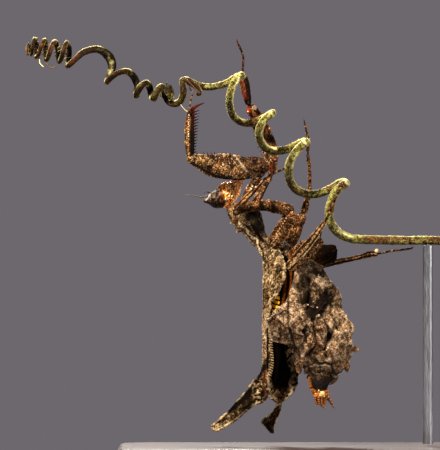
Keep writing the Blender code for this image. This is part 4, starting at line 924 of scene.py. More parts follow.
# Raised pale lines of the prothorax and their radii
CRESTS = (
    (((-6.9, -1.7, 36.8), (-6.6, -1.7, 36.2), (-6.4, -1.6, 35.6), (-6.0, -1.6, 35.4)), 0.14),
    (((-6.0, -1.6, 35.4), (-5.7, -1.6, 35.0), (-5.1, -1.6, 34.8), (-4.85, -1.5, 33.6), (-4.3, -1.4, 32.4)),
     0.15),
)
EYE = (
    (-10.6, 1.0, 41.05, 1.45, 1.0), (-11.5, 1.6, 40.95, 1.38, 1.05), (-12.3, 2.1, 40.9, 0.85, 0.8),
    (-12.9, 2.5, 40.75, 0.45, 0.45), (-13.2, 2.75, 40.6, 0.15, 0.15),
)
ANTENNA_RIGHT = (
    (-11.6, -0.4, 41.8, 0.2, 0.2), (-13.4, -1.4, 41.3, 0.12, 0.12), (-14.8, -2.1, 41.5, 0.09, 0.09),
    (-16.3, -2.7, 41.6, 0.05, 0.05),
)
ANTENNA_LEFT = (
    (-11.6, 0.4, 41.8, 0.16, 0.16), (-12.8, 1.9, 42.1, 0.08, 0.08), (-13.1, 3.3, 42.2, 0.06, 0.06),
    (-13.2, 4.9, 41.9, 0.04, 0.04),
)


def near_any(points, lines, width):
    """1 on the nearest of several lines through (x, z) places, falling to 0 at that distance from it."""
    return np.max([near(points, line, width) for line in lines], axis=0)


def slimmed(stations, share):
    """Stations with their half widths and half thicknesses cut to that share."""
    return [(*place, share * wide, share * thick) for *place, wide, thick in stations]


def mirrored(stations):
    """The same stations on the insect's other side."""
    return tuple((x, -y, z, *sizes) for x, y, z, *sizes in stations)


def scatter(surface, count, size, seed, look, keep=None):
    """Small warts at random places of a surface."""
    picks = np.random.default_rng(seed)
    places = np.arange(len(surface.points)) if keep is None else np.flatnonzero(keep)
    return [bead(surface.points[k], size * picks.uniform(0.55, 1.2), look)
            for k in picks.choice(places, count)]


def beads_along(line, spacing, size, look, seed=0):
    """Row of small warts through the places of a line."""
    picks = np.random.default_rng(seed)
    count = int(path_length(line) / spacing) + 1
    return [bead(place, size * picks.uniform(0.7, 1.25), look) for place in spline(line, max(count, 3))]


def facing(surface, x, z):
    """Point of a surface that the photograph sees at that x and z."""
    away = np.hypot(surface.points[:, 0] - x, surface.points[:, 2] - z)
    return surface.points[np.lexsort((surface.points[:, 1], np.round(away / FACING_STEP)))[0]]


def barky(surface, grain=0.4, lump=1.2, amount=1.0, seed=0, ridge_count=5):
    """Lumps, lengthwise ridges and grains on a surface, and its rise, dark and pale to match."""
    points = surface.points.copy()
    lumps = fractal(points, lump, 3, seed)
    grains = granules(points, grain, seed + 3)
    ridges = np.cos(ridge_count * surface.around + 2.0 * noise(points, 2.0, seed + 7))
    fine = fractal(points, 0.3, 3, seed + 9)
    push(surface, amount * (0.1 * lumps + 0.09 * (grains - 0.5) + 0.05 * ridges + 0.04 * fine))
    rise = 0.4 + 0.16 * lumps + 0.6 * (grains - 0.4) + 0.14 * ridges + 0.2 * fine
    # Dark in the hollows between lumps is painted shade, and the pale flecks are painted highlights
    return surface.paint(rise=rise, dark=0.4 * smooth(-lumps - 0.4 * grains, 0.05, 0.6),
                         pale=flecks(points, 0.24, 0.22, seed + 13) * 0.55)


def collar_skin():
    """Prothorax with slanting folds, dark in its middle."""
    collar = tube(PROTHORAX, 0.09)
    points = collar.points.copy()
    rays = noise(slanted(points, -52, 5.0), 0.6, 8)
    folds = 1 - np.abs(rays)
    grains = granules(points, 0.32, 11)
    push(collar, 0.16 * (folds - 0.6) + 0.1 * fractal(points, 1.0, 3, 8) + 0.05 * grains)
    centre = spot(points, -6.2, 38.6, 1.7, 1.2) + spot(points, -5.0, 36.4, 0.8, 1.1)
    return collar.paint(rise=0.15 + 0.45 * folds + 0.25 * grains + 0.2 * fractal(points, 0.5, 3, 9),
                        dark=np.clip(0.95 * centre + 0.7 * smooth(-rays, 0.2, 0.6), 0, 0.92),
                        pale=(0.8 * smooth(rays, 0.35, 0.7) * (1 - centre)
                              + 0.6 * flecks(points, 0.45, 0.15, 5)))


def collar_teeth():
    """Teeth down both sides of the prothorax, each third one longer."""
    pieces = []
    for side in (RIGHT, LEFT):
        for k, (x, y, z, wide, thick) in enumerate(spline(PROTHORAX, COLLAR_PLACES)[3:-3]):
            root = np.array((x, side * thick * 0.8, z))
            reach = 0.5 if k % 3 else 0.8
            tip = root + np.array((-0.25, side * reach * (0.5 + 0.25 * thick), -0.3))
            pieces.append(thorn(root, tip, 0.18, look=(0.5, 0.2, 0.1, 0.1)))
    return pieces


def thorax():
    pieces = [barky(tube(THORAX, 0.13), 0.45, 1.2, 1.2, 3), collar_skin()]
    for root, tip, size in NECK_SPIKES:
        spike = barky(thorn(root, tip, size, sides=16, step=0.1), 0.3, 0.6, 0.5, 2)
        pieces.append(spike.paint(accent=0.35, pale=0.7 * smooth(spike.along, 0.75, 1.0), dark=0.3))
    pieces += collar_teeth()
    for line, size in CRESTS:
        ridge = tube([(*place, size, 1.3 * size) for place in line], 0.08, sides=16)
        push(ridge, 0.1 * fractal(ridge.points, 0.45, 3, 5) + 0.05 * granules(ridge.points, 0.25, 2))
        pieces.append(ridge.paint(rise=0.7 + 0.3 * fractal(ridge.points, 0.3, 3, 4), pale=0.5,
                                  dark=0.5 * smooth(-fractal(ridge.points, 0.5, 2, 8), 0.1, 0.5)))
        warts = [(x - 0.05, y - 0.12, z) for x, y, z in line]
        pieces += beads_along(warts, 0.33, 0.1, (0.9, 0, 0, 0.6), 3)
    add_piece("thorax_skin", join(pieces), "thorax", ["thorax", "prothorax"])


def crumpled(surface, amount, seed, size=2.3):
    """Flat facets that meet in sharp ridges and creases, as on a dead leaf, and a look to match."""
    points = surface.points.copy()
    shifted = warped(points, 0.3, 1.3, seed) * np.array((1.0, 0.8, 0.85))
    top, beside_top, plate = cells(shifted, size, seed + 4)
    low, beside_low, _ = cells(shifted, size, seed + 64)
    small = cells(shifted, 0.4 * size, seed + 8)[0]**2 - cells(shifted, 0.4 * size, seed + 68)[0]**2
    ridges = 1 - smooth(beside_top - top, 0.0, 0.16)
    creases = 1 - smooth(beside_low - low, 0.0, 0.14)
    broad = fractal(points, 3.6, 3, seed + 12)
    fine = fractal(points, 0.4, 4, seed + 9)
    push(surface, amount * (0.3 * broad + 0.85 * (top**2 - low**2) + 0.2 * small + 0.05 * fine))
    rise = 0.44 + 0.12 * broad + 0.22 * small + 0.1 * fine + 0.25 * (plate - 0.5) + 0.15 * ridges
    # Dark in the creases and hollows is painted shade, and pale on the ridges is painted light
    return surface.paint(rise=rise, dark=0.35 * creases + 0.12 * smooth(-fine - 0.3 * small, 0.2, 0.7),
                         pale=0.2 * ridges * (fine > -0.2) + 0.4 * flecks(points, 0.28, 0.14, seed))


def painted_shadows(points):
    """Painted shadows on the abdomen's front and in its pits, 1 inside."""
    heart = near(points, HEART_SHADOW, 1.9)
    upper = near(points, UPPER_SHADOW, 1.1)
    pits = sum(spot(points, *pit) for pit in PITS)
    torn = 0.9 + 0.6 * fractal(points, 0.5, 4, 71)
    dark = 0.95 * smooth(heart * torn, 0.1, 0.6) + 0.5 * smooth(upper * torn, 0.2, 0.6) + pits
    return np.clip(dark, 0, 1)


def abdomen_body():
    """The abdomen's crumpled bulk with its creases, rims and painted shadows."""
    body = tube(ABDOMEN, 0.1)
    points = body.points.copy()
    z = points[:, 2]
    crumpled(body, 0.85, 12)
    creases = near_any(points, CREASES, 0.34)
    rims = near_any(points, ABDOMEN_RIMS, 0.35)
    push(body, 0.22 * rims - 0.3 * creases)
    shade = painted_shadows(points)
    push(body, -0.35 * shade)
    # Pale along the outline is a painted rim highlight
    outline = smooth(1 - np.abs(normals(body)[:, 1]), 0.75, 0.95)
    blotch = smooth(fractal(points, 1.3, 4, 77), 0.1, 0.5)
    # Painted shade over the upper abdomen, and darker towards the bottom
    ends = 0.25 * smooth(z, *UPPER_SHADE) + 0.28 * smooth(-z, -18.0, -15.5)
    arch = 0.8 * near(points, [(x, z + 0.35) for x, z in ABDOMEN_RIMS[0]], 0.28)
    # Dark in the creases is painted shade
    dark = body.look[:, 2] + 0.8 * shade + 0.45 * creases + 0.15 * blotch + ends + arch
    pale = np.clip(body.look[:, 3] + 0.25 * rims + 0.4 * outline, 0, 1)
    return body.paint(accent=0.2 * smooth(fractal(points, 1.9, 3, 91), 0.0, 0.5),
                      dark=np.clip(dark, 0, 0.92), pale=pale * (1 - shade) * (1 - creases))


def edge_leaf():
    """Ragged leaf-like edge at the abdomen's right in the photograph."""
    leaf = sheet(EDGE_LEAF, RIGHT, 0.08, 0.5, ragged=0.08, seed=6)
    crumpled(leaf, 0.3, 31, 1.7)
    border = smooth(leaf.around, 0.88, 0.97)
    # Dark along its crease is painted shade
    return leaf.paint(accent=0.45 * border, pale=np.clip(leaf.look[:, 3] + 0.35 * border, 0, 1),
                      dark=leaf.look[:, 2] + 0.7 * near(leaf.points, EDGE_LEAF_CREASE, 0.3))


def upper_flap():
    """Upper part of the lobe that runs down the abdomen's right side."""
    flap = tube(ABDOMEN_FLAP, 0.07)
    crumpled(flap, 0.3, 12)
    crease = near(flap.points, CREASES[0], 0.3)
    shade = painted_shadows(flap.points)
    # Painted shade along the crease, painted shadows, and painted shade over the upper part
    dark = flap.look[:, 2] + 0.6 * crease + 0.8 * shade + 0.25 * smooth(flap.points[:, 2], *UPPER_SHADE)
    return flap.paint(dark=np.clip(dark, 0, 0.92), accent=0.1, pale=flap.look[:, 3] * (1 - shade))


def lower_flap():
    """Lower part of the lobe, a curled sheet that folds over the wing's edge."""
    flap = sheet(FLAP_LEAF, RIGHT, 0.07, 0.3, ragged=0.1, seed=4)
    points = flap.points.copy()
    crumpled(flap, 0.3, 12, 1.7)
    edge = 1 - smooth(flap.around, 0.02, 0.1)
    low = smooth(-points[:, 2], -22.6, -20.0)
    crease = near(points, CREASES[0], 0.3)
    curl = near(points, FLAP_CURL, 0.4)
    flap.points[:, 1] -= 0.35 * curl
    # Dark along the crease is painted shade
    return flap.paint(accent=0.15 + 0.5 * curl,
                      dark=np.clip(flap.look[:, 2] + 0.12 + 0.2 * low * (1 - edge) + 0.6 * crease, 0, 0.9),
                      pale=np.clip(flap.look[:, 3] * (1 - crease) + 0.45 * edge + 0.3 * curl, 0, 1))


def bristles(body):
    """Short points along the abdomen's outline as the photograph shows it."""
    picks = np.random.default_rng(9)
    outline = (np.abs(normals(body)[:, 1]) < 0.3) & (body.along > 0.15)
    pieces = []
    for k in picks.choice(np.flatnonzero(outline), BRISTLES):
        root = body.points[k]
        out = unit(root - np.array((ABDOMEN_AXIS_X, 0.0, root[2])))
        tip = root + picks.uniform(0.1, 0.32) * out
        pieces.append(thorn(root - 0.1 * out, tip, 0.13, sides=5, look=(0.6, 0.1, 0, 0.4)))
    return pieces


def abdomen():
    body = abdomen_body()
    pieces = [body] + [bead(facing(body, x, z), size, GLINT) for x, z, size in GLINTS]
    for k, lobe in enumerate(ABDOMEN_LOBES):
        part = crumpled(tube(lobe, 0.08), 0.35, 30 + k)
        ribs = np.abs(np.cos(part.around)) > 0.94
        pieces.append(part.paint(accent=0.35 * smooth(part.along, 0.5, 1.0), pale=0.4 * ribs))
    pieces += [edge_leaf(), upper_flap(), lower_flap(), *bristles(body)]
    add_piece("abdomen_skin", join(pieces), "abdomen", ["abdomen"])
    abdomen_end()


def end_plate():
    """Plate between the abdomen's last ring and the orange tip, dark as painted shade with tan mottles."""
    plate = tube(END_PLATE, 0.06)
    points = plate.points.copy()
    x, _, z = points.T
    tan = smooth(fractal(points, 0.5, 3, 6), -0.1, 0.4) * smooth(z - 0.5 * x, 11.0, 12.4)
    rim = near(points, PLATE_RIM, 0.35)
    push(plate, 0.05 * fractal(points, 0.6, 3, 3) + 0.1 * rim)
    return plate.paint(rise=0.3 + 0.5 * tan, accent=rim, dark=0.93 * (1 - 0.6 * tan) * (1 - rim),
                       pale=0.1 * tan)


def tip_skin():
    """Orange bulb at the abdomen's end, painted in shade above it."""
    tip = tube(ABDOMEN_TIP, 0.05)
    points = tip.points.copy()
    grain = granules(points, 0.4, 8)
    bulb = 1 - smooth(points[:, 2], 11.6, 12.1)
    rim = near(points, TIP_RIM, 0.5)
    above = (1 - bulb) * (1 - rim)
    push(tip, 0.06 * grain + 0.09 * fractal(points, 0.8, 3, 2) + 0.12 * rim - 0.2 * (1 - bulb) * (1 - rim))
    tan = smooth(fractal(points, 0.5, 3, 6), 0.0, 0.4) * spot(points, 3.4, 14.0, 0.8, 0.8)
    return tip.paint(rise=0.3 + 0.4 * grain, accent=np.clip(bulb + rim, 0, 1),
                     pale=0.5 * tan + 0.25 * grain * bulb,
                     dark=above * 0.75 * (1 - tan) + 0.7 * near(points, BULB_SEAM, 0.22))


def abdomen_end():
    """Plate under the last ring, dark as painted shade, the orange tip, its glints, feelers and prongs."""
    tip = tip_skin()
    x, y, z = facing(tip, *TIP_BULB)
    # The bulb is its own orange, painted pale in part as a highlight
    parts = [tip, end_plate(), bead((x, y, z), 0.5, (0.95, 0.8, 0, 0.6), 16)]
    parts += [bead((x + right, y - 0.45, z + up), size, GLINT) for right, up, size in TIP_GLINTS]
    for stations in (CERCUS, mirrored(CERCUS), VALVE):
        part = tube(slimmed(stations, 0.5), 0.05)
        parts.append(part.paint(rise=0.5, accent=0.85, dark=0.5 * (1 - part.along), pale=0.35 * part.along))
    for root, end, size, bow in TIP_PRONGS:
        part = thorn(root, end, size, bow, sides=10, step=0.06)
        rings = np.cos(2 * np.pi * PRONG_RINGS * part.along)
        shade = 0.15 + 0.45 * smooth(-rings, 0.0, 0.8)
        parts.append(part.paint(0.45 + 0.3 * rings, 0.85, shade, 0.25 * smooth(rings, 0.0, 0.8)))
    add_piece("abdomen_end", join(parts), "abdomen_tip", ["abdomen_tip"])


def head_skin():
    """Head with a grainy orange face, its neck, warts, simple eyes and spikes."""
    skull = tube(HEAD, 0.05, ends=(0.8, 0.8))
    points = skull.points.copy()
    grain = granules(points, 0.3, 4)
    lumps = fractal(points, 0.9, 3, 8)
    face = smooth(points[:, 0] + 0.2 * points[:, 2], *FACE_FROM)
    push(skull, (0.04 + 0.1 * face) * (grain - 0.4) + 0.07 * lumps)
    shade = (1 - face) * 0.15 + 0.3 * smooth(-grain - 0.3 * lumps, -0.3, 0.1)
    # Pale flecks on the face are painted highlights
    skull.paint(rise=0.7 + 1.3 * (grain - 0.4) + 0.3 * lumps, accent=0.6 + 0.4 * face,
                dark=np.clip(shade, 0, 0.9), pale=0.9 * flecks(points, 0.3, 0.4, 6) * face)
    neck = barky(tube(NECK, 0.07), 0.3, 0.8, 0.6, 5)
    neck.paint(accent=0.85, dark=0.45 * smooth(-fractal(neck.points, 0.6, 3, 2), 0.0, 0.5))
    # The face's warts are painted pale as highlights
    pieces = [skull, neck] + scatter(skull, FACE_WARTS, 0.085, 12, (1, 0.5, 0, 0.85), face > 0.6)
    pieces += [bead(place, 0.16, (0.5, 0.2, 0.2, 0.1)) for place in OCELLI]
    for x, y, z in FACE_SPIKES:
        pieces.append(thorn((x, y, z), (x + 0.1, y - 0.1, z + 0.6), 0.14, look=(0.8, 0.8, 0, 0.3)))
    add_piece("head_skin", join(pieces), "head", ["head"])


def eyes():
    for name, stations in (("eye_right", mirrored(EYE)), ("eye_left", EYE)):
        eye = tube(stations, 0.045, ends=(0.5, 0.9))
        points = eye.points.copy()
        mottles = fractal(warped(points, 0.3, 0.6, 3), 0.45, 4, 3)
        lights = smooth(fractal(slanted(points, 30, 2.0), 0.5, 3, 9), 0.1, 0.5)
        streak = near(points, EYE_STREAK, 0.16)
        low = smooth(41.0 - points[:, 2], 0.0, 1.0)
        push(eye, 0.02 * mottles)
        behind = smooth(points[:, 0], -11.2, -10.5)
        eye.paint(rise=0.36 + 0.5 * mottles, accent=behind, pale=0.12 * lights * (1 - low) + 0.9 * streak,
                  dark=0.15 + 0.3 * low + 0.3 * smooth(-mottles, 0.15, 0.5) - 0.1 * behind)
        add_piece(name + "_skin", eye, "eyes", [name])


def mouth():
    """Upper lip and ringed palps."""
    lip = tube(LABRUM, 0.05)
    grain = granules(lip.points, 0.3, 6)
    push(lip, 0.07 * grain)
    parts = [lip.paint(rise=0.3 + 0.6 * grain, accent=0.9, pale=0.5 * grain)]
    for root, tip, size in PALPS:
        middle = 0.5 * (np.array(root) + tip)
        sizes = zip((root, middle, tip), (size, 0.75 * size, 0.5 * size))
        part = tube([(*place, wide, wide) for place, wide in sizes], 0.05, sides=14)
        rings = np.cos(2 * np.pi * PALP_RINGS * part.along)
        push(part, 0.05 * rings)
        parts.append(part.paint(rise=0.6 - 0.3 * rings, accent=0.85, pale=0.4 * part.along))
    add_piece("mouth", join(parts), "mouthparts", ["mouthparts"])


def antennae():
    for name, stations in (("antenna_right", ANTENNA_RIGHT), ("antenna_left", ANTENNA_LEFT)):
        feeler = tube(stations, 0.05, sides=10)
        rings = np.abs(np.sin(np.pi * ANTENNA_RINGS * feeler.along))
        push(feeler, 0.02 * (rings - 0.6))
        add_piece(name + "_skin", feeler.paint(rise=0.2 + 0.6 * rings), "antennae", [name])


def head():
    head_skin()
    eyes()
    mouth()
    antennae()


# Legs: the solids' stations, with finer feet

FORE_RIGHT = {
    "coxa": ((-7.5, -2.0, 39.8, 0.6, 0.55), (-6.9, -2.4, 41.0, 0.62, 0.6), (-6.0, -2.6, 42.8, 0.6, 0.55),
             (-5.1, -2.6, 44.2, 0.55, 0.5)),
    "femur": ((-4.2, -2.7, 44.8, 0.55, 0.5), (-5.1, -2.8, 45.2, 0.95, 0.65), (-6.8, -2.9, 45.6, 1.65, 0.75),
              (-9.2, -2.9, 45.9, 1.95, 0.8), (-12.0, -2.9, 46.2, 1.75, 0.75), (-14.0, -2.8, 46.8, 1.1, 0.6),
              (-15.4, -2.8, 47.3, 0.65, 0.5)),
    "tibia": ((-15.5, -2.8, 47.8, 0.5, 0.45), (-15.6, -2.8, 49.8, 0.58, 0.45), (-15.6, -2.8, 52.4, 0.52, 0.4),
              (-15.4, -2.7, 54.4, 0.38, 0.35)),
    "tarsus": ((-15.5, -3.5, 54.2, 0.2, 0.2), (-15.3, -3.3, 55.8, 0.2, 0.2), (-15.0, -2.9, 57.2, 0.2, 0.2),
               (-15.4, -2.5, 57.9, 0.15, 0.15)),
}
FORE_LEFT = {
    "coxa": ((-5.5, 2.2, 39.9, 0.6, 0.55), (-4.9, 2.7, 41.2, 0.6, 0.55), (-4.0, 3.3, 43.0, 0.6, 0.55),
             (-3.2, 3.7, 44.2, 0.5, 0.5)),
    "femur": ((-2.8, 4.2, 45.0, 0.55, 0.5), (-2.8, 4.5, 46.7, 0.9, 0.6), (-3.2, 4.7, 49.0, 1.25, 0.7),
              (-4.2, 4.6, 51.6, 1.2, 0.65), (-5.2, 4.4, 53.9, 0.9, 0.6), (-6.0, 4.3, 55.1, 0.7, 0.55)),
    "tibia": ((-6.4, 4.6, 55.8, 0.45, 0.4), (-6.6, 5.2, 57.0, 0.6, 0.4), (-6.9, 6.0, 58.5, 0.75, 0.4),
              (-7.2, 6.7, 59.9, 0.65, 0.35)),
    "tarsus": ((-7.3, 7.0, 60.4, 0.2, 0.2), (-7.2, 6.8, 61.6, 0.2, 0.2), (-7.2, 6.5, 63.2, 0.2, 0.2),
               (-7.8, 6.1, 64.7, 0.2, 0.18), (-8.1, 6.0, 65.3, 0.13, 0.13)),
}
MID_RIGHT = {
    "coxa": ((-2.6, -2.2, 34.2, 1.0, 0.8), (-1.7, -2.4, 35.6, 1.1, 0.9), (-0.5, -2.2, 37.5, 1.0, 0.85),
             (0.3, -2.0, 38.7, 0.9, 0.8)),
    "femur": ((0.1, -2.1, 39.4, 0.7, 0.7), (-1.1, -2.5, 39.5, 0.9, 0.8), (-3.1, -3.1, 39.9, 0.85, 0.7),
              (-5.4, -3.7, 39.9, 0.7, 0.6), (-7.3, -4.2, 39.4, 0.6, 0.5), (-8.5, -4.4, 38.9, 0.5, 0.45)),
    "tibia": ((-8.3, -4.3, 39.5, 0.4, 0.3), (-7.1, -3.7, 40.7, 0.4, 0.3), (-5.5, -2.9, 42.4, 0.38, 0.28),
              (-4.3, -2.3, 43.8, 0.32, 0.28)),
    "tarsus": ((-4.0, -2.2, 44.0, 0.22, 0.2), (-2.8, -1.9, 44.8, 0.2, 0.2), (-1.7, -1.6, 45.3, 0.22, 0.2),
               (-0.8, -1.3, 45.7, 0.16, 0.16)),
}
MID_LEFT = {
    "coxa": ((-0.2, 1.8, 33.8, 0.9, 0.8), (0.5, 2.2, 35.3, 0.95, 0.85), (1.2, 2.5, 37.0, 0.9, 0.8),
             (1.8, 2.8, 38.4, 0.8, 0.7)),
    "femur": ((2.2, 3.1, 39.2, 0.5, 0.45), (2.6, 3.7, 40.6, 0.4, 0.36), (3.0, 4.1, 42.1, 0.28, 0.28),
              (3.1, 3.6, 44.7, 0.25, 0.25), (2.9, 2.9, 47.0, 0.2, 0.2), (2.8, 2.6, 47.8, 0.24, 0.24)),
    "tibia": ((2.8, 2.3, 48.5, 0.19, 0.18), (2.8, 1.9, 49.6, 0.18, 0.18), (2.7, 1.5, 50.5, 0.18, 0.18),
              (2.6, 1.3, 51.2, 0.18, 0.18)),
    "tarsus": ((2.5, 1.2, 51.5, 0.2, 0.2), (2.4, 0.9, 52.1, 0.18, 0.18), (2.2, 0.5, 52.8, 0.14, 0.14)),
}
HIND_RIGHT = {
    "coxa": ((0.2, -2.3, 32.1, 0.85, 0.75), (1.5, -2.6, 33.2, 0.9, 0.8), (3.1, -2.6, 34.2, 0.8, 0.7),
             (4.3, -2.6, 35.0, 0.65, 0.6)),
    "femur": ((4.6, -3.0, 34.5, 0.6, 0.55), (3.4, -3.7, 33.2, 0.7, 0.6), (2.0, -4.4, 31.6, 0.65, 0.55),
              (0.6, -5.2, 30.4, 0.5, 0.5)),
    "tibia": ((-0.3, -5.8, 30.5, 0.6, 0.4), (0.9, -5.4, 31.9, 0.68, 0.35), (2.5, -4.8, 33.8, 0.62, 0.3),
              (4.2, -4.0, 35.9, 0.42, 0.28), (5.2, -3.7, 37.3, 0.35, 0.28)),
    "tarsus": ((5.5, -3.6, 37.8, 0.25, 0.22), (6.2, -3.8, 39.2, 0.22, 0.2), (6.8, -3.8, 40.8, 0.22, 0.2),
               (7.5, -3.1, 42.2, 0.2, 0.2), (8.2, -2.2, 43.3, 0.15, 0.15)),
}
HIND_LEFT = {
    "coxa": ((1.5, 1.4, 31.3, 1.2, 1.0), (3.4, 1.9, 32.1, 1.3, 1.1), (5.4, 2.3, 32.7, 1.3, 1.1),
             (6.8, 2.5, 33.0, 1.0, 0.9)),
    "femur": ((6.6, 3.2, 32.1, 0.7, 0.65), (6.2, 4.4, 31.6, 0.8, 0.7), (5.5, 6.0, 31.2, 0.7, 0.6),
              (4.9, 7.8, 30.8, 0.5, 0.5)),
    "tibia": ((5.2, 8.3, 30.8, 0.45, 0.35), (7.4, 7.0, 31.3, 0.4, 0.3), (10.2, 5.4, 31.9, 0.33, 0.28),
              (12.5, 4.2, 32.5, 0.42, 0.32), (13.4, 3.7, 32.5, 0.3, 0.27)),
    "tarsus": ((13.8, 3.4, 32.6, 0.2, 0.2), (15.7, 2.5, 33.0, 0.2, 0.2), (17.4, 1.7, 33.2, 0.2, 0.2),
               (18.8, 0.9, 33.4, 0.17, 0.17)),
}
# Spikes of the near hind knee: root and tip
KNEE_SPIKES = (
    ((3.6, -2.7, 34.5), (4.3, -3.0, 36.4)), ((4.4, -2.6, 35.0), (5.0, -2.6, 36.6)),
    ((1.9, -2.9, 33.6), (1.5, -3.3, 34.7)),
)
SEGMENTS = ("coxa", "femur", "tibia", "tarsus")
TIBIA_CLAW = ((-15.4, -2.7, 54.4), (-13.1, -2.75, 55.75), 0.34)
TIBIA_CLAW_BOW = (-0.05, 0, 0.2)
# Dark base of the near tibia's comb: lower end, upper end, radius and darkness
COMB_BASE = ((48.0, 51.4, 0.26, 0.92), (51.4, 54.2, 0.26, 0.7))
COMB_SPINES = 15
COMB_LOW = 48.1
COMB_HEIGHT = 6.2
# Broad base of the near fore femur
FEMUR_BASE = (
    (-6.9, -3.0, 46.3, 1.1, 0.6), (-5.6, -3.1, 46.2, 1.3, 0.7), (-4.4, -3.0, 45.9, 1.2, 0.65),
    (-3.7, -2.9, 45.6, 0.8, 0.5),
)
# Pale thread and beads of the near tibia
TIBIA_THREAD = ((-16.8, -2.8, 55.45), (-16.2, -2.8, 54.7), (-15.6, -2.8, 54.25))
TIBIA_BEADS = ((-15.6, -3.25, 50.6), (-15.62, -3.22, 52.4), (-15.5, -3.1, 54.2))
# Rows of beads on the near fore coxa: line, spacing, radius and seed
COXA_BEADS = (
    (((-7.3, -2.6, 40.2), (-6.7, -3.0, 41.2), (-5.8, -3.2, 42.9)), 0.4, 0.14, 6),
    (((-6.7, -2.5, 40.0), (-6.2, -2.9, 41.1), (-5.3, -3.1, 42.8)), 0.45, 0.12, 7),
)
# Warts of the near middle femur and coxa, and knobs of the far middle leg with their radii
FEMUR_WARTS = ((-4.3, -3.4, 40.75), (-3.3, -3.2, 40.8), (-2.1, -2.9, 40.6), (-1.5, -2.7, 40.4))
COXA_LINE = ((-0.6, -3.1, 38.0), (-1.6, -3.3, 36.4), (-2.6, -3.0, 34.9))
MID_LEFT_KNOBS = (
    ((2.4, 0.8, 52.2), 0.24), ((2.7, 1.4, 50.9), 0.24), ((2.7, 2.3, 48.5), 0.26), ((2.8, 2.5, 47.7), 0.34),
)
# Pale knob at the end of the far hind tibia: centre and radius
HIND_LEFT_KNOB = ((13.4, 3.5, 33.0), 0.3)
# Knobs of the far fore femur: centre, radius and whether it is pale
FEMUR_KNOBS = (
    ((-6.35, 3.7, 54.6), 0.42, False), ((-5.5, 3.6, 55.1), 0.38, True), ((-6.1, 4.3, 55.0), 0.42, False),
)
KNOB_GLINT = (-6.45, 3.3, 54.5)
# Marks of each leg in the x-z plane. Spots: x, z, half width, half height and darkness. Dark and pale lines:
# places, width and amount. Tints: amount of the accent colour by segment. Flats: way a segment's thickness
# faces.
FORE_RIGHT_MARKS = {
    "spots": ((-6.0, 45.9, 1.4, 1.3, 0.8),),
    "darks": ((((-7.2, 47.4), (-6.2, 46.2), (-5.0, 45.2), (-4.2, 44.8)), 1.0, 0.7),
              (((-14.8, 46.3), (-11.5, 44.5), (-8.0, 43.9), (-6.0, 44.0)), 0.5, 0.8),
              (((-15.15, 47.8), (-15.15, 51.0)), 0.5, 0.9), (((-15.1, 51.0), (-15.0, 54.3)), 0.4, 0.6)),
    "pales": ((((-15.0, 47.9), (-12.5, 47.9), (-9.5, 47.8)), 0.35, 0.2),
              (((-9.0, 48.2), (-8.2, 47.2), (-7.2, 46.0), (-6.6, 45.1)), 0.3, 0.4)),
    "tints": {"coxa": 0.35, "femur": 0.2, "tibia": 0.2, "tarsus": 0.3},
}
FORE_LEFT_MARKS = {
    "spots": ((-2.9, 50.2, 0.9, 0.9, 0.85), (-6.6, 57.5, 0.35, 2.2, 0.8), (-5.6, 52.0, 0.35, 0.9, 0.9)),
    "darks": ((((-6.0, 55.6), (-6.2, 57.6), (-6.6, 59.6)), 0.55, 0.95),
              (((-7.3, 60.4), (-7.6, 64.8)), 0.5, 0.6), (((-6.2, 56.0), (-6.9, 59.8)), 2.0, 0.4)),
    "tints": {"coxa": 0.35, "femur": 0.6},
}
MID_RIGHT_MARKS = {
    "spots": ((-4.4, 39.8, 0.5, 1.2, 0.9), (-2.6, 39.7, 0.5, 1.2, 0.9), (-7.6, 39.4, 1.2, 0.9, 0.85),
              (-0.6, 37.5, 0.5, 1.2, 0.6), (-3.6, 39.4, 3.4, 0.7, 0.6), (-1.2, 36.4, 0.6, 1.6, 0.45)),
}
HIND_RIGHT_MARKS = {
    "spots": ((2.6, 33.6, 2.6, 3.0, 0.2),),
    "pales": ((((0.3, 30.9), (1.7, 32.1), (3.2, 33.6), (4.7, 35.6), (5.5, 37.2)), 0.2, 0.5),),
    "tints": {"coxa": 0.3, "tibia": 0.05},
}
# The far hind leg's coxa and femur lie in shadow: these spots and its dark line are painted shadow
HIND_LEFT_MARKS = {
    "spots": ((5.8, 33.0, 4.2, 2.6, 1.0), (8.0, 31.6, 3.0, 0.6, 0.6)),
    "darks": ((((3.0, 33.4), (5.0, 34.0), (7.4, 33.6)), 1.1, 0.9),),
    "tints": {"coxa": 0.45},
    "flats": {"femur": (0, 0, 1)},
}
TARSUS_JOINTS = 4.6
# Rows of spines: places read along a segment, lengths in turn, depth of a root
SPINE_PLACES = 120
SPINE_LENGTHS = (1.0, 0.7, 0.85)
SPINE_SINK = 0.2
CLAW_LENGTH = 0.4
CLAW_SPREAD = 0.33
CLAW_RADIUS = 0.1
# Neck between two segments: its share of their smallest half width, and its depth in each
JOINT_SHARE = 0.62
JOINT_SINK = 0.3
# Half bands along a segment
BANDS = {"coxa": 6, "femur": 9}


def spine_row(stations, count, first, last, direction, length, radius, look, lean=(0, 0, 0)):
    """Spines of three lengths along one edge of a segment."""
    direction = unit(np.array(direction, float))
    places = spline(stations, SPINE_PLACES)
    pieces = []
    for k in range(count):
        share = first + (last - first) * k / (count - 1)
        x, y, z, wide, _ = places[int(share * (SPINE_PLACES - 1))]
        edge = np.array((x, y, z)) + direction * wide
        reach = length * SPINE_LENGTHS[k % len(SPINE_LENGTHS)]
        tip = edge + direction * reach + np.array(lean) * reach
        pieces.append(thorn(edge - direction * SPINE_SINK, tip, radius, look=look))
    return pieces


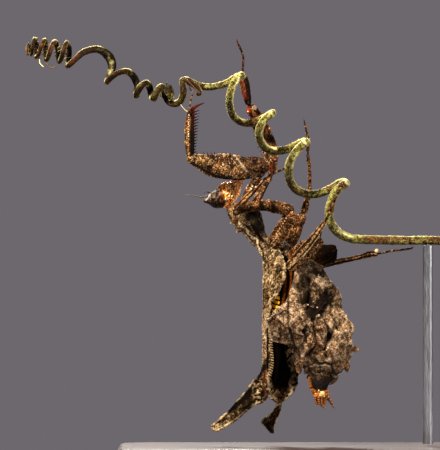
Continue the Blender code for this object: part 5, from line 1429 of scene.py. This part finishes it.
def joint(before, after):
    """Short neck from the last station of one segment to the first of the next."""
    a, b = np.array(before[-1], float), np.array(after[0], float)
    size = JOINT_SHARE * min(a[3], a[4], b[3], b[4])
    start = a[:3] + JOINT_SINK * unit(np.array(before[-2], float)[:3] - a[:3])
    end = b[:3] + JOINT_SINK * unit(np.array(after[1], float)[:3] - b[:3])
    middle = 0.5 * (a[:3] + b[:3])
    stations = [(*start, size, size), (*middle, size * 1.15, size * 1.15), (*end, size, size)]
    return tube(stations, 0.09, flat=(0.2, 1, 0.3), sides=16).paint(0.3, 0.35, 0.5)


def tarsus(stations, slim):
    """Thin foot of short joints."""
    made = tube(slimmed(stations, slim), 0.05, sides=14)
    beat = (made.along * TARSUS_JOINTS) % 1.0
    push(made, 0.06 * beat**2 - 0.03)
    return made.paint(rise=0.2 + 0.4 * beat, dark=0.5 * (beat < 0.3) + 0.2, pale=0.12 * (beat > 0.75))


def segment(kind, stations, seed, flat, ribs):
    """Coxa, femur or tibia: barky, or ridged lengthwise on a tibia."""
    made = tube(stations, 0.075, flat=flat)
    points = made.points.copy()
    if kind == "tibia":
        ridges = ribs * np.cos(4 * made.around + 0.6 * noise(points, 1.5, seed))
        lumps = fractal(points, 0.7, 3, seed)
        grains = granules(points, 0.28, seed + 3) - 0.4
        push(made, 0.06 * ridges + 0.05 * lumps + 0.05 * grains)
        # Dark in the grooves and hollows is painted shade, and pale on the ridge tops is painted light
        return made.paint(rise=0.38 + 0.35 * ridges + 0.25 * lumps + 0.5 * grains,
                          dark=0.35 * smooth(-ridges, 0.2, 0.9) + 0.35 * smooth(-lumps, 0.1, 0.6),
                          pale=0.2 * smooth(ridges + grains, 0.75, 1.2))
    barky(made, 0.25, 0.9, 0.9, seed, 4)
    bands = np.sin(made.along * BANDS[kind] * np.pi + 1.6 * noise(points, 1.2, seed))
    return made.paint(dark=np.clip(made.look[:, 2] + 0.3 * smooth(bands, 0.1, 0.7), 0, 0.9))


def foot_claws(stations):
    """Two bowed claws at the end of a tarsus."""
    end, before = np.array(stations[-1][:3]), np.array(stations[-2][:3])
    along = unit(end - before)
    pieces = []
    for side in (RIGHT, LEFT):
        tip = end + along * CLAW_LENGTH + np.array((0.0, side * CLAW_SPREAD, 0.15))
        bow = (0, side * 0.05, 0.12)
        pieces.append(thorn(end - along * SPINE_SINK, tip, CLAW_RADIUS, bow, look=(0.3, 0.4, 0.6, 0)))
    return pieces


def leg(name, parts, slot, seed, extra=(), accent=0.15, ribs=1.0, slim=0.9, spots=(), darks=(), pales=(),
        tints=None, flats=None):
    """One leg as a single skin, with the marks of its own."""
    flats = flats or {}
    tints = tints or {}
    pieces = []
    for k, kind in enumerate(SEGMENTS):
        if kind == "tarsus":
            made = tarsus(parts[kind], slim)
        else:
            made = segment(kind, parts[kind], seed + k, flats.get(kind, (0, 1, 0)), ribs)
        warm = tints.get(kind, accent) * (0.75 + 0.6 * fractal(made.points, 1.0, 3, seed))
        dark, pale = made.look[:, 2], made.look[:, 3]
        for *place, amount in spots:
            dark = np.maximum(dark, amount * spot(made.points, *place))
        for line, wide, amount in darks:
            dark = np.maximum(dark, amount * near(made.points, line, wide))
        for line, wide, amount in pales:
            lit = amount * near(made.points, line, wide)
            pale = np.maximum(pale, lit)
            dark = dark * (1 - lit)
        pieces.append(made.paint(accent=warm, dark=dark, pale=pale))
        if k:
            pieces.append(joint(parts[SEGMENTS[k - 1]], parts[kind]))
    pieces += foot_claws(parts["tarsus"]) + list(extra)
    add_piece(f"leg_{name}", join(pieces), slot, [f"{kind}_{name}" for kind in SEGMENTS])


def comb(red):
    """Comb of the near tibia: spines that lengthen upwards on a dark base."""
    pieces = []
    for k in range(COMB_SPINES):
        share = k / (COMB_SPINES - 1)
        root = np.array((-15.0, -2.85 - 0.1 * (k % 2), COMB_LOW + COMB_HEIGHT * share))
        tip = root + (0.45 + 0.5 * share) * np.array((0.94, 0.0, 0.35)) + np.array((0.25, 0, 0))
        pieces.append(thorn(root, tip, 0.2, look=(0.35, 1.0, 0.95 - 0.4 * share, 0)))
    for low, high, size, shade in COMB_BASE:
        ends = [(-14.98, -2.85, low, size, size), (-14.95, -2.85, high, size, size)]
        pieces.append(tube(ends, 0.08, flat=(0.3, 1, 0), sides=14).paint(0.3, 1.0, shade))
    root, tip, size = TIBIA_CLAW
    claw = thorn(root, tip, size, TIBIA_CLAW_BOW, sides=12)
    pieces.append(claw.paint(accent=1.0, dark=0.45 + 0.5 * smooth(claw.along, 0.6, 1.0)))
    return pieces


def near_foreleg():
    red, cream = (0.4, 1.0, 0.5, 0.0), (0.9, 0.1, 0.0, 0.7)
    extra = spine_row(FORE_RIGHT["femur"], 16, 0.16, 0.93, (-0.15, 0, 1), 0.42, 0.11, red, (-0.4, 0, 0))
    extra += spine_row(FORE_RIGHT["femur"], 12, 0.12, 0.8, (-0.05, -0.5, 0.8), 0.3, 0.1, red, (-0.3, 0, 0))
    extra += comb(red)
    extra.append(thread(TIBIA_THREAD, 0.06, cream))
    extra += beads_along(TIBIA_BEADS, 0.36, 0.09, cream, 5)
    base = barky(tube(FEMUR_BASE, 0.075), 0.32, 0.9, 0.9, 77, 4)
    extra.append(base.paint(accent=0.35, dark=np.clip(0.45 + base.look[:, 2], 0, 0.9)))
    for line, spacing, size, seed in COXA_BEADS:
        extra += beads_along(line, spacing, size, cream, seed)
    leg("fore_right", FORE_RIGHT, "forelegs", 100, extra, ribs=0.3, slim=0.65, **FORE_RIGHT_MARKS)


def far_foreleg():
    red, cream, brown = (0.5, 1.0, 0.3, 0.0), (0.9, 0.5, 0.0, 0.5), (0.7, 1.0, 0.1, 0.0)
    extra = spine_row(FORE_LEFT["femur"], 12, 0.25, 0.9, (-1, -0.1, -0.3), 0.5, 0.12, red)
    extra += spine_row(FORE_LEFT["tibia"], 12, 0.1, 0.95, (0.1, -1, 0.3), 0.45, 0.1, red)
    extra += [bead(place, size, cream if pale else brown, 20) for place, size, pale in FEMUR_KNOBS]
    extra.append(bead(KNOB_GLINT, 0.12, GLINT))
    leg("fore_left", FORE_LEFT, "forelegs", 130, extra, accent=0.9, ribs=0.4, **FORE_LEFT_MARKS)


def legs():
    near_foreleg()
    far_foreleg()
    warts = [bead(place, 0.15, (0.7, 0.4, 0, 0.2), 12) for place in FEMUR_WARTS]
    warts += beads_along(COXA_LINE, 0.42, 0.1, (0.8, 0.3, 0, 0.3), 4)
    leg("mid_right", MID_RIGHT, "walking_legs", 160, warts, accent=0.25, **MID_RIGHT_MARKS)
    knobs = [bead(place, 0.85 * size, (0.6, 0.4, 0.1, 0.1), 12) for place, size in MID_LEFT_KNOBS]
    leg("mid_left", MID_LEFT, "walking_legs", 190, knobs, accent=0.3)
    spikes = [thorn(root, tip, 0.25, look=(0.2, 0, 0.85, 0)) for root, tip in KNEE_SPIKES]
    leg("hind_right", HIND_RIGHT, "walking_legs", 220, spikes, accent=0.12, **HIND_RIGHT_MARKS)
    spurs = spine_row(HIND_LEFT["tibia"], 5, 0.76, 0.97, (0, 0, -1), 0.35, 0.12, (0.6, 0.2, 0.2, 0.3))
    spurs.append(bead(*HIND_LEFT_KNOB, (0.9, 0.1, 0, 0.9), 12))
    leg("hind_left", HIND_LEFT, "walking_legs", 250, spurs, accent=0.12, **HIND_LEFT_MARKS)


# Wings, as in the solids: rows of one edge, the other edge and the bulge between them

FOREWING_RIGHT = (
    (-4.0, -0.7, 34.2, -2.6, -1.7, 34.4, 0.2), (-4.2, -0.5, 32.2, -1.4, -2.6, 32.8, 0.8),
    (-4.2, -0.5, 29.8, -0.6, -3.2, 30.5, 1.0), (-4.2, -0.5, 27.9, -0.9, -3.2, 28.4, 1.1),
    (-4.2, -0.5, 26.2, -2.0, -3.0, 26.2, 0.9), (-4.2, -0.5, 24.4, -2.9, -2.6, 24.3, 0.6),
    (-4.2, -0.5, 22.1, -3.1, -2.2, 22.1, 0.4), (-4.2, -0.5, 19.3, -3.0, -1.9, 19.5, 0.35),
    (-4.2, -0.5, 16.8, -3.0, -1.8, 16.7, 0.3), (-4.4, -0.6, 14.8, -3.2, -1.6, 14.1, 0.2),
    (-5.3, -0.8, 13.4, -3.4, -1.7, 11.6, 0.2), (-6.4, -1.1, 11.9, -4.0, -1.8, 9.9, 0.2),
    (-7.6, -1.4, 10.4, -5.8, -1.9, 9.2, 0.2), (-9.4, -1.6, 8.4, -7.8, -2.0, 7.5, 0.1),
    (-11.2, -2.0, 6.8, -9.9, -2.1, 6.1, 0.0), (-12.0, -2.1, 6.2, -11.2, -2.1, 5.4, 0.0),
)
FOREWING_LEFT = (
    (-4.0, 0.7, 34.1, -2.6, 1.7, 34.2, 0.2), (-4.2, 0.5, 31.9, -1.4, 2.6, 32.7, 0.8),
    (-4.2, 0.5, 29.3, -0.5, 3.2, 30.2, 1.0), (-4.2, 0.5, 26.2, -0.2, 3.4, 27.0, 1.1),
    (-4.2, 0.5, 23.2, 0.0, 3.4, 23.6, 0.9), (-4.2, 0.5, 20.1, 0.0, 3.3, 20.1, 0.6),
    (-4.2, 0.6, 17.5, 0.7, 3.2, 17.0, 0.4), (-4.1, 0.7, 14.7, 1.4, 2.8, 14.4, 0.3),
    (-3.9, 0.9, 12.3, 1.2, 2.4, 12.3, 0.2), (-3.4, 1.0, 10.7, 0.0, 2.0, 10.5, 0.2),
    (-2.3, 1.1, 9.7, -1.1, 1.6, 9.7, 0.1), (-2.2, 1.1, 9.0, -1.3, 1.6, 9.0, 0.0),
    (-3.2, 1.1, 7.8, -1.5, 1.4, 7.9, 0.1), (-4.5, 1.0, 6.8, -2.1, 1.3, 6.7, 0.0),
    (-3.7, 1.0, 5.7, -2.4, 1.2, 5.7, 0.0), (-3.0, 0.9, 5.0, -2.4, 1.0, 4.9, 0.0),
)
HINDWING = (
    (-2.9, 0.9, 33.0, -1.7, 1.9, 33.2, 0.1), (-3.4, 0.9, 30.8, 0.0, 2.3, 31.3, 0.3),
    (-3.5, 0.9, 27.8, 0.3, 2.4, 28.2, 0.4), (-3.5, 0.9, 24.7, -0.2, 2.4, 25.0, 0.4),
    (-3.5, 0.9, 21.6, -0.3, 2.3, 22.1, 0.3), (-3.4, 0.9, 18.5, -1.2, 1.9, 18.5, 0.2),
    (-3.1, 0.9, 15.5, -1.8, 1.5, 15.5, 0.1), (-2.8, 0.9, 13.2, -2.2, 1.2, 12.8, 0.0),
)


def leathery(surface, seed, amount=1.0):
    """Dead-leaf wing: slanting veins, a fine net, short dark dashes and crumples, as its shape and look."""
    points = surface.points.copy()
    crumple = fractal(points * np.array((1.0, 0.4, 0.6)), 1.6, 4, seed)
    veins = net(slanted(points, 58, 3.4), 0.75, seed + 2)
    small = net(warped(points, 0.15, 0.5, seed + 1), 0.4, seed + 3)
    dashes = smooth(noise(slanted(warped(points, 0.2, 0.8, seed + 5), 30, 4.5), 0.28, seed + 6), 0.25, 0.6)
    fine = fractal(points, 0.35, 4, seed + 8)
    push(surface, amount * (0.05 * veins + 0.025 * small + 0.03 * fine - 0.03 * dashes))
    surface.points[:, 1] += 0.18 * amount * crumple
    border = smooth(np.abs(2 * surface.around - 1), 0.86, 0.98)
    rise = 0.3 + 0.3 * crumple + 0.3 * veins + 0.12 * small + 0.35 * fine
    return surface.paint(rise=rise, dark=0.5 * dashes + 0.25 * smooth(-crumple, 0.15, 0.6),
                         pale=np.clip(0.55 * veins * smooth(crumple, -0.2, 0.5) + 0.55 * border
                                      + 0.7 * flecks(points, 0.42, 0.13, seed), 0, 1))


# Twisted rim of the near forewing beside the slit
ROPE = (
    (-3.0, -2.15, 21.4), (-2.95, -2.1, 19.3), (-2.8, -1.95, 17.3), (-2.8, -1.8, 15.4), (-3.2, -1.7, 13.7),
)
ROPE_RADIUS = 0.24
ROPE_TURNS = 20
# Rounded end of the near forewing
WING_END = (
    (-11.95, -2.1, 6.2, 0.22, 0.15), (-11.7, -2.1, 5.75, 0.36, 0.16), (-11.25, -2.1, 5.45, 0.22, 0.15),
)
# Lines of the near forewing in the x-z plane: red fold, dark line along the strip, dark streak of the tail
TAIL_FOLD = ((-3.9, 14.4), (-4.1, 12.2), (-3.5, 10.0))
STRIP_LINE = ((-3.45, 21.0), (-3.45, 14.6))
TAIL_STREAK = ((-3.9, 15.4), (-5.3, 12.7), (-6.8, 10.7), (-8.3, 9.4), (-9.4, 8.5))
# Ribs of a hindwing, as turns of its share across, and the height from one yellow bar to the next
HINDWING_RIBS = 26
BAR_SPACING = 0.72


def wing_rope():
    """Twisted rim beside the slit."""
    rope = tube([(*place, ROPE_RADIUS, ROPE_RADIUS) for place in ROPE], 0.05, sides=20)
    twist = np.cos(2 * np.pi * ROPE_TURNS * rope.along + rope.around)
    push(rope, 0.04 * twist)
    return rope.paint(rise=0.45 + 0.25 * twist, dark=0.45 * smooth(-twist, 0.0, 0.7),
                      pale=0.25 * smooth(twist, 0.2, 0.8))


def forewing_near():
    """Near forewing: a granular strip beside the slit, a folded dark tail and a pale rounded end."""
    wing = sheet(FOREWING_RIGHT, RIGHT, 0.075, 0.2, ragged=0.05, seed=3)
    leathery(wing, 5)
    z = wing.points[:, 2]
    grains = granules(wing.points, 0.33, 55)
    strip = (1 - smooth(z, 21.2, 23.4)) * smooth(z, 13.3, 14.6)
    tail = 1 - smooth(z, 12.4, 14.4)
    tip = 1 - smooth(z, 6.0, 7.2)
    fold = near(wing.points, TAIL_FOLD, 0.35)
    line = near(wing.points, STRIP_LINE, 0.24)
    triangle = smooth(spot(wing.points, -4.6, 11.6, 1.3, 2.0), 0.2, 0.6)
    mottles = smooth(fractal(wing.points, 0.34, 2, 57), -0.25, 0.1)
    edge = smooth(np.abs(2 * wing.around - 1), 0.6, 0.9)
    push(wing, 0.07 * grains * strip + 0.18 * edge * tail)
    streak = near(wing.points, TAIL_STREAK, 0.7)
    rise, _, dark, pale = wing.look.T
    pale = pale * (1 - 0.5 * tail) + 0.5 * grains * strip + tail * 0.3 * edge + 0.5 * tip * grains
    pale = pale * (1 - fold) * (1 - 0.7 * triangle) + 0.1 * triangle * (1 - mottles)
    dark = dark + 0.1 * strip + 0.9 * streak + 0.3 * tail * (1 - tip) * (1 - edge) + 0.9 * line
    dark = np.clip(dark * (1 - triangle) + 0.85 * triangle * mottles, 0, 0.95)
    wing.paint(rise=rise + 0.25 * strip * grains, accent=0.3 * strip + fold,
               dark=dark * (1 - fold) + 0.45 * fold, pale=pale)
    end = tube(WING_END, 0.07).paint(rise=0.6, pale=0.3)
    push(end, 0.05 * granules(end.points, 0.33, 55))
    add_piece("forewing_right_skin", join([wing, wing_rope(), end]), "forewings", ["forewing_right"])


def forewing_far():
    """Far forewing, rolled at both edges round a hollow painted in shade, with a hanging lobe."""
    wing = sheet(FOREWING_LEFT, LEFT, 0.075, 0.2, ragged=0.06, seed=9)
    leathery(wing, 15)
    x, _, z = wing.points.T
    share = wing.around + 0.06 * fractal(wing.points, 1.6, 3, 61)
    low = 1 - smooth(z, 19.0, 21.0)
    # The hollow inside the roll is painted in shade
    inside = smooth(share, 0.22, 0.34) * (1 - smooth(share, 0.68, 0.8)) * smooth(z, 11.2, 12.6) * low
    roll = smooth(np.abs(2 * share - 1), 0.35, 0.8) * smooth(z, 9.2, 10.4) * low
    lobe = 1 - smooth(z, 8.6, 9.6)
    edge = smooth(np.abs(2 * wing.around - 1), 0.7, 0.95)
    wing.points[:, 1] -= 0.9 * roll - 0.5 * inside
    grains = smooth(fractal(wing.points, 0.4, 3, 44), -0.2, 0.1) * (1 - 0.4 * smooth(x, -0.2, 0.8))
    rise, _, dark, pale = wing.look.T
    dark = dark + inside + 0.65 * lobe * (1 - 0.8 * edge) + 0.7 * roll * (1 - grains)
    pale = np.clip(pale + 0.6 * grains * roll + 0.5 * lobe * edge, 0, 1) * (1 - inside)
    wing.paint(rise=rise + 0.25 * roll * grains, accent=0.12 + 0.4 * lobe, dark=np.clip(dark, 0, 0.97),
               pale=pale)
    add_piece("forewing_left_skin", wing, "forewings", ["forewing_left"])


def hindwings():
    """Fans of ribs, dark but for the barred yellow zone that shows between the forewings."""
    mirror = tuple((x, -y, z, u, -v, w, bulge) for x, y, z, u, v, w, bulge in HINDWING)
    for name, rows, side in (("hindwing_right", mirror, RIGHT), ("hindwing_left", HINDWING, LEFT)):
        made = sheet(rows, side, 0.1, 0.14)
        points = made.points.copy()
        x, _, z = points.T
        ribs = np.cos(HINDWING_RIBS * made.around)
        push(made, 0.035 * ribs)
        bars = np.sin(2 * np.pi * (z + 0.4 * x) / BAR_SPACING + noise(points, 0.8, 3))
        bars = smooth(bars, 0.3, 0.7)
        zone = smooth(z, 22.6, 23.2) * (1 - smooth(z, 26.0, 26.6)) * (x < -1.6)
        # Darker towards the top, and painted shadow below the yellow zone where the wing lies in the hollow
        ends = smooth(z, 29.6, 30.8) + (1 - smooth(z, 21.6, 22.6))
        made.points[:, 1] += 0.35 * side * zone
        dark = zone * bars + 0.8 * smooth(-ribs, -0.2, 0.6) * (1 - zone) + ends
        made.paint(rise=0.3 + 0.2 * ribs + 0.2 * fractal(points, 0.8, 3, 5), accent=0.4 * (1 - zone),
                   dark=np.clip(dark, 0, 0.97), pale=zone * (1 - bars))
        add_piece(name + "_skin", made, "hindwings", [name])


def wings():
    hindwings()
    forewing_near()
    forewing_far()


# Stage

FLOOR_RADIUS = 66.0
FLOOR_SIDES = 96
BACKGROUND = (108, 104, 110)
CAMERA_LENS = 520.0
SENSOR_WIDTH = 36.0
# Lamps: name, place, diameter, power in watts and tint
LAMPS = (
    ("key", (-130.0, -180.0, 290.0), 45.0, 3.3, (1.0, 0.96, 0.88)),
    ("side", (250.0, -120.0, 120.0), 90.0, 0.6, (1.0, 0.97, 0.93)),
    ("rim", (-40.0, 220.0, 240.0), 70.0, 1.4, (1.0, 0.98, 0.92)),
)
LAMP_AIM = (-4.0, 0.0, 34.0)


def camera():
    lens = bpy.data.cameras.new("camera")
    lens.lens = CAMERA_LENS
    lens.sensor_width = SENSOR_WIDTH
    lens.clip_start = 0.01
    lens.clip_end = 20.0
    distance = CAMERA_LENS / SENSOR_WIDTH * PHOTO_HEIGHT / PIXELS_PER_MM
    x = (PHOTO_WIDTH / 2 - PHOTO_X) / PIXELS_PER_MM
    z = PHOTO_Z_HEIGHT + (PHOTO_Z - PHOTO_HEIGHT / 2) / PIXELS_PER_MM
    obj = bpy.data.objects.new("camera", lens)
    obj.location = Vector((x, -distance, z)) * MM
    obj.rotation_euler = (np.pi / 2, 0, 0)
    bpy.context.scene.collection.objects.link(obj)
    bpy.context.scene.camera = obj


def floor():
    """Pale disc under the stand, just small enough to stay below the photograph's frame."""
    angles = 2 * np.pi * np.arange(FLOOR_SIDES) / FLOOR_SIDES
    points = [(FLOOR_RADIUS * np.cos(a) * MM, FLOOR_RADIUS * np.sin(a) * MM, 0.0) for a in angles]
    data = bpy.data.meshes.new("floor")
    data.from_pydata(points, [], [tuple(range(FLOOR_SIDES))])
    data.materials.append(floor_paint())
    obj = bpy.data.objects.new("floor", data)
    bpy.context.scene.collection.objects.link(obj)


def lights():
    for name, place, size, power, tint in LAMPS:
        light = bpy.data.lights.new(name, "AREA")
        light.shape = "DISK"
        light.size = size * MM
        light.energy = power
        light.color = tint
        obj = bpy.data.objects.new(name, light)
        obj.location = Vector(place) * MM
        obj.rotation_euler = (Vector(LAMP_AIM) - Vector(place)).to_track_quat("-Z", "Y").to_euler()
        bpy.context.scene.collection.objects.link(obj)
    world = bpy.data.worlds.new("studio")
    world.use_nodes = True
    world.node_tree.nodes["Background"].inputs["Color"].default_value = colour(*BACKGROUND)
    bpy.context.scene.world = world
    bpy.context.scene.view_settings.view_transform = "Standard"


def main():
    camera()
    for name, material in (("stand_base", stand_wood()), ("stand_rod", stand_steel())):
        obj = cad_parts[name]
        obj.data.materials.clear()
        obj.data.materials.append(material)
    tendril()
    thorax()
    abdomen()
    head()
    legs()
    wings()
    floor()
    lights()


main()
